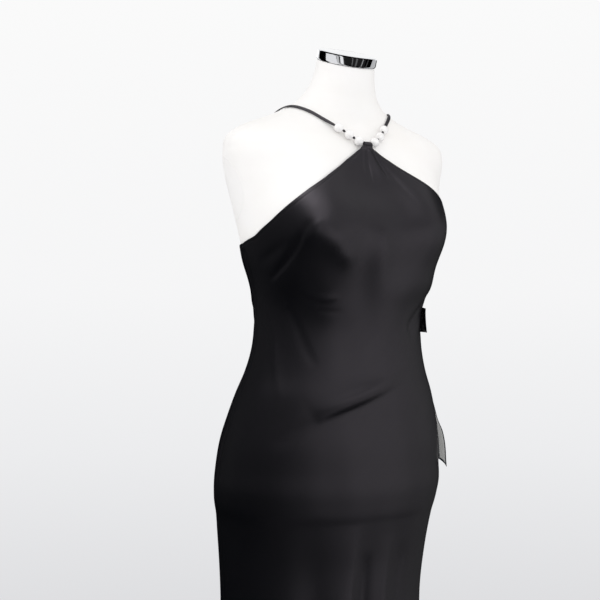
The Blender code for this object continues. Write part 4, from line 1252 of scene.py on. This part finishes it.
# Profiles: the radius and the height of each corner, from the axis back to the axis.
NECK_CAP_PROFILE = ((0.0001, 0.0168), (0.0200, 0.0169), (0.0470, 0.0170), (0.0488, 0.0168),
                    (0.0500, 0.0162), (0.0506, 0.0152), (0.0508, 0.0140), (0.0508, 0.0034),
                    (0.0505, 0.0020), (0.0498, 0.0008), (0.0480, 0.0), (0.0001, 0.0))
POLE_PROFILE = ((0.0001, 0.0313), (0.0120, 0.0313), (0.0125, 0.0318), (0.0125, 0.7596),
                (0.0120, 0.7600), (0.0001, 0.7600))
FLANGE_PROFILE = ((0.0001, 0.7603), (0.0134, 0.7603), (0.0142, 0.7606), (0.0282, 0.7658),
                  (0.0295, 0.7666), (0.0300, 0.7680), (0.0300, 0.7905), (0.0296, 0.7914),
                  (0.0288, 0.7917), (0.0001, 0.7917))
COLLAR_PROFILE = ((0.0001, 0.0153), (0.0236, 0.0153), (0.0240, 0.0158), (0.0240, 0.0286),
                  (0.0237, 0.0296), (0.0228, 0.0306), (0.0218, 0.0310), (0.0001, 0.0310))
BASE_PROFILE = ((0.0001, 0.0150), (0.0280, 0.0150), (0.0700, 0.0140), (0.1300, 0.0126),
                (0.1500, 0.0121), (0.1525, 0.0116), (0.1542, 0.0104), (0.1550, 0.0088),
                (0.1550, 0.0034), (0.1544, 0.0016), (0.1528, 0.0004), (0.1500, 0.0),
                (0.0001, 0.0))


class HALTER_OT_form(bpy.types.Operator):
    """Make the smooth body of the dress form"""
    bl_idname = "halter_gown.form"
    bl_label = "Form body"

    def execute(self, context):
        cover = material_for(context, "cover")
        body = rings_to_solid(form_rings(FORM_COLUMNS, FORM_ROWS) + MODEL_SHIFT)
        piece = add_piece("form_torso", *body, cover, "form_cover", sharp_over=70.0)
        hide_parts("form_body")
        add_piece("form_seams", *joined([self.arm_seam(side) for side in (-1.0, 1.0)]), cover,
                  "form_cover")
        return {"FINISHED"}

    def arm_seam(self, side):
        """A fine piped seam round the closed arm end of one shoulder."""
        turn = full_turn(ARM_SEAM_POINTS)
        angle = side * (ARM_SEAM["deg"] + ARM_SEAM["half_deg"] * np.cos(turn))
        height = ARM_SEAM["height"] + ARM_SEAM["half_height"] * np.sin(turn)
        middle = section_point(FORM, angle, height)
        normal = surface_normal(FORM, angle, height)
        across = np.cross(unit(np.roll(middle, -1, axis=0) - np.roll(middle, 1, axis=0)), normal)
        rings = [middle + across * ARM_SEAM["half_width"] * math.cos(sweep)
                 + normal * ARM_SEAM["stands"] * math.sin(sweep)
                 for sweep in full_turn(ARM_SEAM_SIDES)]
        return rings_to_solid(np.array(rings) + MODEL_SHIFT, looped=True)


class HALTER_OT_stand(bpy.types.Operator):
    """Make the neck cap and the stand of the form"""
    bl_idname = "halter_gown.stand"
    bl_label = "Cap and stand"

    def execute(self, context):
        height, centre_x, centre_y, *_, tilt = FORM[-1]
        lean = math.radians(tilt)
        cap = turned_rings(NECK_CAP_PROFILE, NECK_CAP_SIDES) + np.array([0.0, 0.0, SEAM_GAP])
        cap = cap @ np.array([[1.0, 0.0, 0.0],
                              [0.0, math.cos(lean), math.sin(lean)],
                              [0.0, -math.sin(lean), math.cos(lean)]])
        self.add(context, "cap", "neck_cap", cap + np.array([centre_x, centre_y, height]))
        for name, replaced, profile, around in (("pole", "stand_pole", POLE_PROFILE, 64),
                                                ("flange", "stand_flange", FLANGE_PROFILE, 96),
                                                ("collar", "stand_collar", COLLAR_PROFILE, 96),
                                                ("base", "stand_base", BASE_PROFILE, 128)):
            rings = turned_rings(profile, around) + np.array([0.0, POLE_Y, 0.0])
            self.add(context, name, replaced, rings)
        return {"FINISHED"}

    def add(self, context, name, replaced, rings):
        """One chromed piece in place of its plain solid."""
        piece = add_piece(name, *rings_to_solid(rings + MODEL_SHIFT),
                          material_for(context, "chrome"), "chrome", sharp_over=35.0)
        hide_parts(replaced)


# Stitches

STITCH_RADIUS = 0.00022
EDGE_STITCH = (0.0030, 0.0022)      # spacing and length
HEM_STITCH = (0.0036, 0.0026)
STITCH_STANDS = 0.00008             # over the groove that they lie in
# Where each line runs, in degrees, and its number of points.
FRONT_LINES = ((-96.0, -10.5, 200), (14.5, 96.0, 200))
BACK_LINES = ((98.0, 262.0, 400),)
HEM_STITCH_DROP = 0.002             # under the ridge of the hem


def stitch_tree():
    """Node tree that lays short stitches along a line of edges."""
    tree = bpy.data.node_groups.new("halter_stitches", "GeometryNodeTree")
    for label, kind in (("Geometry", "Geometry"), ("Spacing", "Float"), ("Length", "Float"),
                        ("Thread", "Float"), ("Material", "Material")):
        tree.interface.new_socket(label, in_out="INPUT", socket_type="NodeSocket" + kind)
    tree.interface.new_socket("Geometry", in_out="OUTPUT", socket_type="NodeSocketGeometry")
    given = node(tree, "NodeGroupInput").outputs
    curve = node(tree, "GeometryNodeMeshToCurve", Mesh=given["Geometry"])
    spaced = node(tree, "GeometryNodeResampleCurve", mode="LENGTH", Curve=curve.outputs["Curve"],
                  Length=given["Spacing"])
    tangent = node(tree, "GeometryNodeInputTangent")
    aligned = node(tree, "FunctionNodeAlignRotationToVector", axis="Z",
                   Vector=tangent.outputs["Tangent"])
    thread = node(tree, "GeometryNodeMeshCylinder", Vertices=6, Side_Segments=2,
                  Radius=given["Thread"], Depth=given["Length"])
    laid = node(tree, "GeometryNodeInstanceOnPoints", Points=spaced.outputs["Curve"],
                Instance=thread.outputs["Mesh"], Rotation=aligned.outputs["Rotation"])
    real = node(tree, "GeometryNodeRealizeInstances", Geometry=laid.outputs["Instances"])
    dyed = node(tree, "GeometryNodeSetMaterial", Geometry=real.outputs["Geometry"],
                Material=given["Material"])
    node(tree, "NodeGroupOutput", Geometry=dyed.outputs["Geometry"])
    return tree


def stitched(name, lines, tree, stitch, material):
    """Stitches along some lines of points, as one plain mesh."""
    points, edges = [], []
    for line in lines:
        edges += [(len(points) + spot, len(points) + spot + 1) for spot in range(len(line) - 1)]
        points += list(line)
    guide = bpy.data.objects.new(name + "_line", plain_mesh(name + "_guide", points, edges=edges))
    bpy.context.collection.objects.link(guide)
    laid = guide.modifiers.new("stitches", "NODES")
    laid.node_group = tree
    given = {"Spacing": stitch[0], "Length": stitch[1], "Thread": STITCH_RADIUS,
             "Material": material}
    for socket in tree.interface.items_tree:
        if socket.in_out == "INPUT" and socket.name in given:
            laid[socket.identifier] = given[socket.name]
    graph = bpy.context.evaluated_depsgraph_get()
    mesh = bpy.data.meshes.new_from_object(guide.evaluated_get(graph))
    if not len(mesh.polygons):
        raise RuntimeError("no stitches were laid on " + name)
    guide.modifiers.clear()
    bpy.data.objects.remove(guide, do_unlink=True)
    mesh.shade_smooth()
    placed(name, mesh)


class HALTER_OT_stitches(bpy.types.Operator):
    """Lay the stitches of the neck edge, the back edge and the hem"""
    bl_idname = "halter_gown.stitches"
    bl_label = "Stitches"

    def execute(self, context):
        tree, thread = stitch_tree(), material_for(context, "thread")
        depth = context.scene.halter_sizes.crease_depth

        def line(angles, heights, creases):
            out = CLOTH_WALL - TOP_HEM["groove"] + STITCH_STANDS
            out = out + fine_relief(angles, heights, creases) * depth
            return worn_point(angles, heights, out, FORM_CLEARANCE) + MODEL_SHIFT

        hems = []
        for name, top, over, runs, creases, hem in (
                ("neck_stitches", front_top, FRONT_SOFTENED_DEG, FRONT_LINES, FRONT_CREASES,
                 (-96.5, 96.5, 400)),
                ("back_stitches", back_top, BACK_SOFTENED_DEG, BACK_LINES, BACK_CREASES,
                 (97.5, 262.5, 400))):
            lines = [line(side, softened(top, side, over) - self.under(top, side), creases)
                     for side in (np.linspace(*run) for run in runs)]
            stitched(name, lines, tree, EDGE_STITCH, thread)
            angles = np.linspace(*hem)
            level = np.full_like(angles, HEM_HEIGHT + BOTTOM_HEM["band"] - HEM_STITCH_DROP)
            hems.append(line(angles, level, creases))
        stitched("hem_stitches", hems, tree, HEM_STITCH, thread)
        return {"FINISHED"}

    def under(self, top, angles):
        """Height from a top edge down to its stitch line, on the slope."""
        slope = (top(angles + 0.5) - top(angles - 0.5)) / (math.radians(1.0) * CREASE_ARC)
        return TOP_HEM["band"] * np.sqrt(1.0 + slope**2)


# Stage

VIEW_AZIMUTH_DEG = -28.0
CAMERA_PLACE = (-0.9401, -1.6772, 1.147)
CAMERA_LENS_MM = 66.0
CAMERA_FILM_MM = 36.0
CAMERA_SHIFT_UP = -0.0083
FLOOR_SIDES = 160
FLOOR_PROFILE = ((0.0001, 0.0), (2.2, 0.0), (2.2, -0.02), (0.0001, -0.02))
# Height of a line of sight over the level, and the backdrop's tone there.
BACKDROP_TONES = ((-0.300, (0.700, 0.703, 0.722)), (-0.267, (0.730, 0.733, 0.750)),
                  (-0.139, (0.838, 0.841, 0.854)), (0.0, (0.915, 0.915, 0.922)),
                  (0.264, (0.957, 0.957, 0.957)))
# Soft boxes. Each row is a name, degrees to the right of the camera and up from the middle,
# width, height and brightness. The first ones give the shiny surfaces their sheen.
SHEEN_BOXES = (
    ("left_behind", -107.0, 0.0, 2.4, 1.55, 0.07),
    ("left", -58.0, 0.0, 2.4, 1.55, 0.08),
    ("front_left", -20.0, 0.0, 1.25, 1.55, 0.10),
    ("front", 5.0, 0.0, 1.25, 1.55, 0.43),
    ("key", 30.0, 0.0, 1.25, 1.55, 0.64),
    ("key_right", 55.0, 0.0, 1.25, 1.55, 0.67),
    ("right", 80.0, 0.0, 1.25, 1.55, 0.45),
    ("side", 105.0, 0.0, 1.25, 1.55, 0.35),
    ("side_behind", 130.0, 0.0, 1.25, 1.55, 0.13),
    ("low_left", -15.0, -55.0, 2.6, 1.2, 0.07),
    ("low_front", 34.0, -26.0, 1.6, 1.0, 0.34),
    ("low_right", 66.0, -26.0, 1.6, 1.0, 0.54),
    ("low_side", 98.0, -26.0, 1.6, 0.95, 0.22),
    ("low_behind", 130.0, -31.0, 1.6, 1.45, 0.10),
    ("raised_left", -62.0, 31.0, 3.2, 1.5, 0.10),
    ("raised_front", -14.0, 31.0, 1.6, 1.5, 0.22),
    ("raised_key", 18.0, 31.0, 1.6, 1.5, 0.35),
    ("raised_right", 50.0, 31.0, 1.6, 1.5, 0.25),
    ("raised_side", 82.0, 31.0, 1.6, 1.5, 0.45),
    ("raised_behind", 114.0, 31.0, 1.6, 1.5, 0.06),
    ("upper_left", -95.0, 60.0, 3.1, 1.35, 0.57),
    ("upper", -49.0, 60.0, 3.1, 1.35, 1.04),
    ("upper_front", -3.0, 60.0, 3.1, 1.35, 1.26),
    ("upper_behind", 135.0, 60.0, 3.1, 1.35, 0.54),
    ("ceiling", 20.0, 86.0, 2.5, 2.5, 0.27),
    ("back", 178.0, 0.0, 1.5, 2.4, 0.42),
    ("back_upper", -170.0, 40.0, 2.2, 1.6, 0.70),
)
MATTE_BOXES = (
    ("matte_front", 0.0, 14.0, 2.4, 2.4, 0.98),
    ("matte_left", -76.0, 12.0, 2.2, 2.2, 0.92),
    ("matte_right", 76.0, 12.0, 2.2, 2.2, 0.64),
)
CAP_CARDS = (
    ("cap_far_left", -150.0, -12.0, 1.10, 2.6, 0.85),
    ("cap_left", -66.0, -12.0, 1.50, 2.6, 0.97),
    ("cap_grey", -37.5, -12.0, 0.28, 2.6, 0.62),
    ("cap_gleam", -22.0, -12.0, 0.36, 2.6, 1.05),
    ("cap_line_1", 21.0, -12.0, 0.08, 2.6, 0.18),
    ("cap_line_2", 38.0, -12.0, 0.20, 2.6, 0.11),
    ("cap_line_3", 64.0, -12.0, 0.09, 2.6, 0.42),
    ("cap_line_4", 88.0, -12.0, 0.08, 2.6, 0.10),
    ("cap_right", 131.0, -12.0, 1.24, 2.6, 0.58),
    ("cap_top", 176.0, 32.0, 2.60, 1.3, 1.02),
)
CAP_BACKING = (("cap_dark", 30.0, -12.0, 5.00, 3.4, 0.015),)
TIE_CARDS = (("tie_card", -120.0, 10.0, 1.6, 1.6, 33.0),)
GOWN_MIDDLE = (0.0, 0.0, 1.15)
CAP_MIDDLE = (0.0, -0.06, 1.55)
TIE_MIDDLE = (0.19, -0.05, 0.89)
# For each table: its boxes, the middle they aim at, how far they are from it, whether shiny and
# matte surfaces see them, and a piece that is left out or is the only one lit.
BOX_GROUPS = (
    (SHEEN_BOXES, GOWN_MIDDLE, 2.7, True, False, "cap", "EXCLUDE"),
    (MATTE_BOXES, GOWN_MIDDLE, 2.7, False, True, "cap", "EXCLUDE"),
    (CAP_CARDS, CAP_MIDDLE, 1.8, True, True, "cap", "INCLUDE"),
    (CAP_BACKING, CAP_MIDDLE, 2.4, True, True, "cap", "INCLUDE"),
    (TIE_CARDS, TIE_MIDDLE, 1.5, False, True, "tie_long", "INCLUDE"),
)


def light_world(scene, fill):
    """Pale backdrop that lights the matte surfaces and leaves the shiny ones dark."""
    world = bpy.data.worlds.new("halter_room")
    scene.world = world
    world.use_nodes = True
    tree = world.node_tree
    tree.nodes.clear()
    low, high = BACKDROP_TONES[0][0], BACKDROP_TONES[-1][0]
    place = node(tree, "ShaderNodeTexCoord").outputs["Generated"]
    split = node(tree, "ShaderNodeSeparateXYZ", Vector=place)
    level = node(tree, "ShaderNodeMapRange", From_Min=low, From_Max=high, Value=split.outputs["Z"])
    stops = [((height - low) / (high - low), tone) for height, tone in BACKDROP_TONES]
    seen = node(tree, "ShaderNodeBackground", Strength=fill,
                Color=ramped(tree, level.outputs["Result"], stops))
    node(tree, "ShaderNodeOutputWorld", Surface=seen.outputs["Background"])
    world.cycles_visibility.glossy = False


class HALTER_OT_stage(bpy.types.Operator):
    """Make the floor, the soft lights and the camera"""
    bl_idname = "halter_gown.stage"
    bl_label = "Stage"

    def execute(self, context):
        scene = context.scene
        rings = turned_rings(FLOOR_PROFILE, FLOOR_SIDES)
        mesh = plain_mesh("studio_floor", *rings_to_solid(rings))
        mesh.materials.append(material_for(context, "floor"))
        item = bpy.data.objects.new("studio_floor", mesh)
        scene.collection.objects.link(item)
        item.visible_glossy = False
        item.visible_shadow = False

        for table, middle, distance, shiny, matte, piece, link_state in BOX_GROUPS:
            for row in table:
                box = self.softbox(scene, row, Vector(middle), distance)
                box.visible_glossy = shiny
                box.visible_diffuse = matte
                lit = bpy.data.collections.new(box.name + "_lights")
                lit.objects.link(bpy.data.objects[piece])
                lit.collection_objects[0].light_linking.link_state = link_state
                box.light_linking.receiver_collection = lit
                box.data.use_shadow = piece == "cap"
        light_world(scene, scene.halter_stage.room_fill)

        lens = bpy.data.cameras.new("photo_camera")
        lens.lens = CAMERA_LENS_MM
        lens.sensor_width = CAMERA_FILM_MM
        lens.shift_y = CAMERA_SHIFT_UP
        camera = bpy.data.objects.new("photo_camera", lens)
        camera.location = CAMERA_PLACE
        camera.rotation_euler = (math.radians(90.0), 0.0, math.radians(VIEW_AZIMUTH_DEG))
        scene.collection.objects.link(camera)
        scene.camera = camera
        scene.view_settings.view_transform = "Standard"
        scene.view_settings.look = "None"
        return {"FINISHED"}

    def softbox(self, scene, row, middle, distance):
        """One rectangular softbox, aimed at a middle point."""
        name, aside, up, width, tall, bright = row
        turn, lift = math.radians(VIEW_AZIMUTH_DEG + aside), math.radians(up)
        light = bpy.data.lights.new("softbox_" + name, "AREA")
        light.shape = "RECTANGLE"
        light.size = width
        light.size_y = tall
        light.energy = bright * math.pi * width * tall * scene.halter_stage.light
        box = bpy.data.objects.new("softbox_" + name, light)
        away = Vector((math.sin(turn) * math.cos(lift), -math.cos(turn) * math.cos(lift),
                       math.sin(lift)))
        box.location = middle + away * distance
        box.rotation_mode = "QUATERNION"
        box.rotation_quaternion = (-away).to_track_quat("-Z", "Y")
        box.visible_camera = False
        scene.collection.objects.link(box)
        return box


# Settings, panel and registration


def colour_property(label, words, default):
    """A colour setting with its default."""
    return bpy.props.FloatVectorProperty(name=label, description=words, default=default, size=3,
                                         min=0.0, max=1.0, subtype="COLOR")


def number_property(label, words, default, low, high, **kind):
    """A number setting with its default and its limits."""
    return bpy.props.FloatProperty(name=label, description=words, default=default, min=low,
                                   max=high, **kind)


class HalterSizes(bpy.types.PropertyGroup):
    """Sizes of the gown that a user would change"""
    cloth_thickness: number_property("Cloth thickness", "Thickness of the satin as it is shown",
                                     0.0009, 0.0005, 0.0015, unit="LENGTH")
    crease_depth: number_property("Crease depth", "Share of the full depth of the creases",
                                  1.0, 0.0, 1.5, subtype="FACTOR")


class HalterColours(bpy.types.PropertyGroup):
    """Colours and finishes of the gown, the form and the stand"""
    satin: colour_property("Satin", "Colour of the gown's satin", (0.0012, 0.0015, 0.0021))
    strap: colour_property("Strap", "Colour of the strap and thread", (0.012, 0.012, 0.013))
    # paler colour of the long tie's face: painted sheen of its black satin
    tie_sheen_colour: colour_property("Tie face", "Colour of the paler face of the long tie",
                              (0.05, 0.05, 0.049))
    satin_roughness: number_property("Satin roughness", "How soft the satin's shine is",
                                     0.42, 0.1, 0.9, subtype="FACTOR")
    pearl: colour_property("Pearl", "Colour of the beads", (0.93, 0.915, 0.905))
    cover: colour_property("Form cover", "Colour of the form's cover", (0.87, 0.860, 0.850))
    chrome: colour_property("Chrome", "Colour of the cap, pole and base", (0.78, 0.79, 0.81))
    floor: colour_property("Floor", "Colour of the studio floor", (0.78, 0.78, 0.785))


class HalterStage(bpy.types.PropertyGroup):
    """Light of the stage"""
    light: number_property("Light", "Power of all softboxes", 1.0, 0.0, 5.0)
    room_fill: number_property("Backdrop", "Brightness of the backdrop", 1.0, 0.0, 2.0)


PIECES = (HALTER_OT_form, HALTER_OT_stand, HALTER_OT_front, HALTER_OT_back, HALTER_OT_ties,
          HALTER_OT_strap, HALTER_OT_casing, HALTER_OT_beads, HALTER_OT_stitches,
          HALTER_OT_stage)


class HALTER_PT_pieces(bpy.types.Panel):
    """Lists the settings and the pieces of the gown"""
    bl_idname = "HALTER_PT_pieces"
    bl_label = "Halter gown"
    bl_space_type = "VIEW_3D"
    bl_region_type = "UI"
    bl_category = "Halter gown"

    def draw(self, context):
        layout = self.layout
        for group in (context.scene.halter_sizes, context.scene.halter_colours,
                      context.scene.halter_stage):
            for name in group.__annotations__:
                layout.prop(group, name)
        for piece in PIECES:
            layout.operator(piece.bl_idname)


CLASSES = (HalterSizes, HalterColours, HalterStage) + PIECES + (HALTER_PT_pieces,)


def register():
    """Register the settings, the operators and the panel."""
    for kind in CLASSES:
        bpy.utils.register_class(kind)
    bpy.types.Scene.halter_sizes = bpy.props.PointerProperty(type=HalterSizes)
    bpy.types.Scene.halter_colours = bpy.props.PointerProperty(type=HalterColours)
    bpy.types.Scene.halter_stage = bpy.props.PointerProperty(type=HalterStage)


def unregister():
    """Take the settings, the operators and the panel out again."""
    del bpy.types.Scene.halter_stage
    del bpy.types.Scene.halter_colours
    del bpy.types.Scene.halter_sizes
    for kind in reversed(CLASSES):
        bpy.utils.unregister_class(kind)


def main():
    """Build every piece and the stage."""
    register()
    bpy.ops.halter_gown.form()
    bpy.ops.halter_gown.stand()
    bpy.ops.halter_gown.front()
    bpy.ops.halter_gown.back()
    bpy.ops.halter_gown.ties()
    bpy.ops.halter_gown.strap()
    bpy.ops.halter_gown.casing()
    bpy.ops.halter_gown.beads()
    bpy.ops.halter_gown.stitches()
    bpy.ops.halter_gown.stage()


if __name__ == "__main__":
    main()
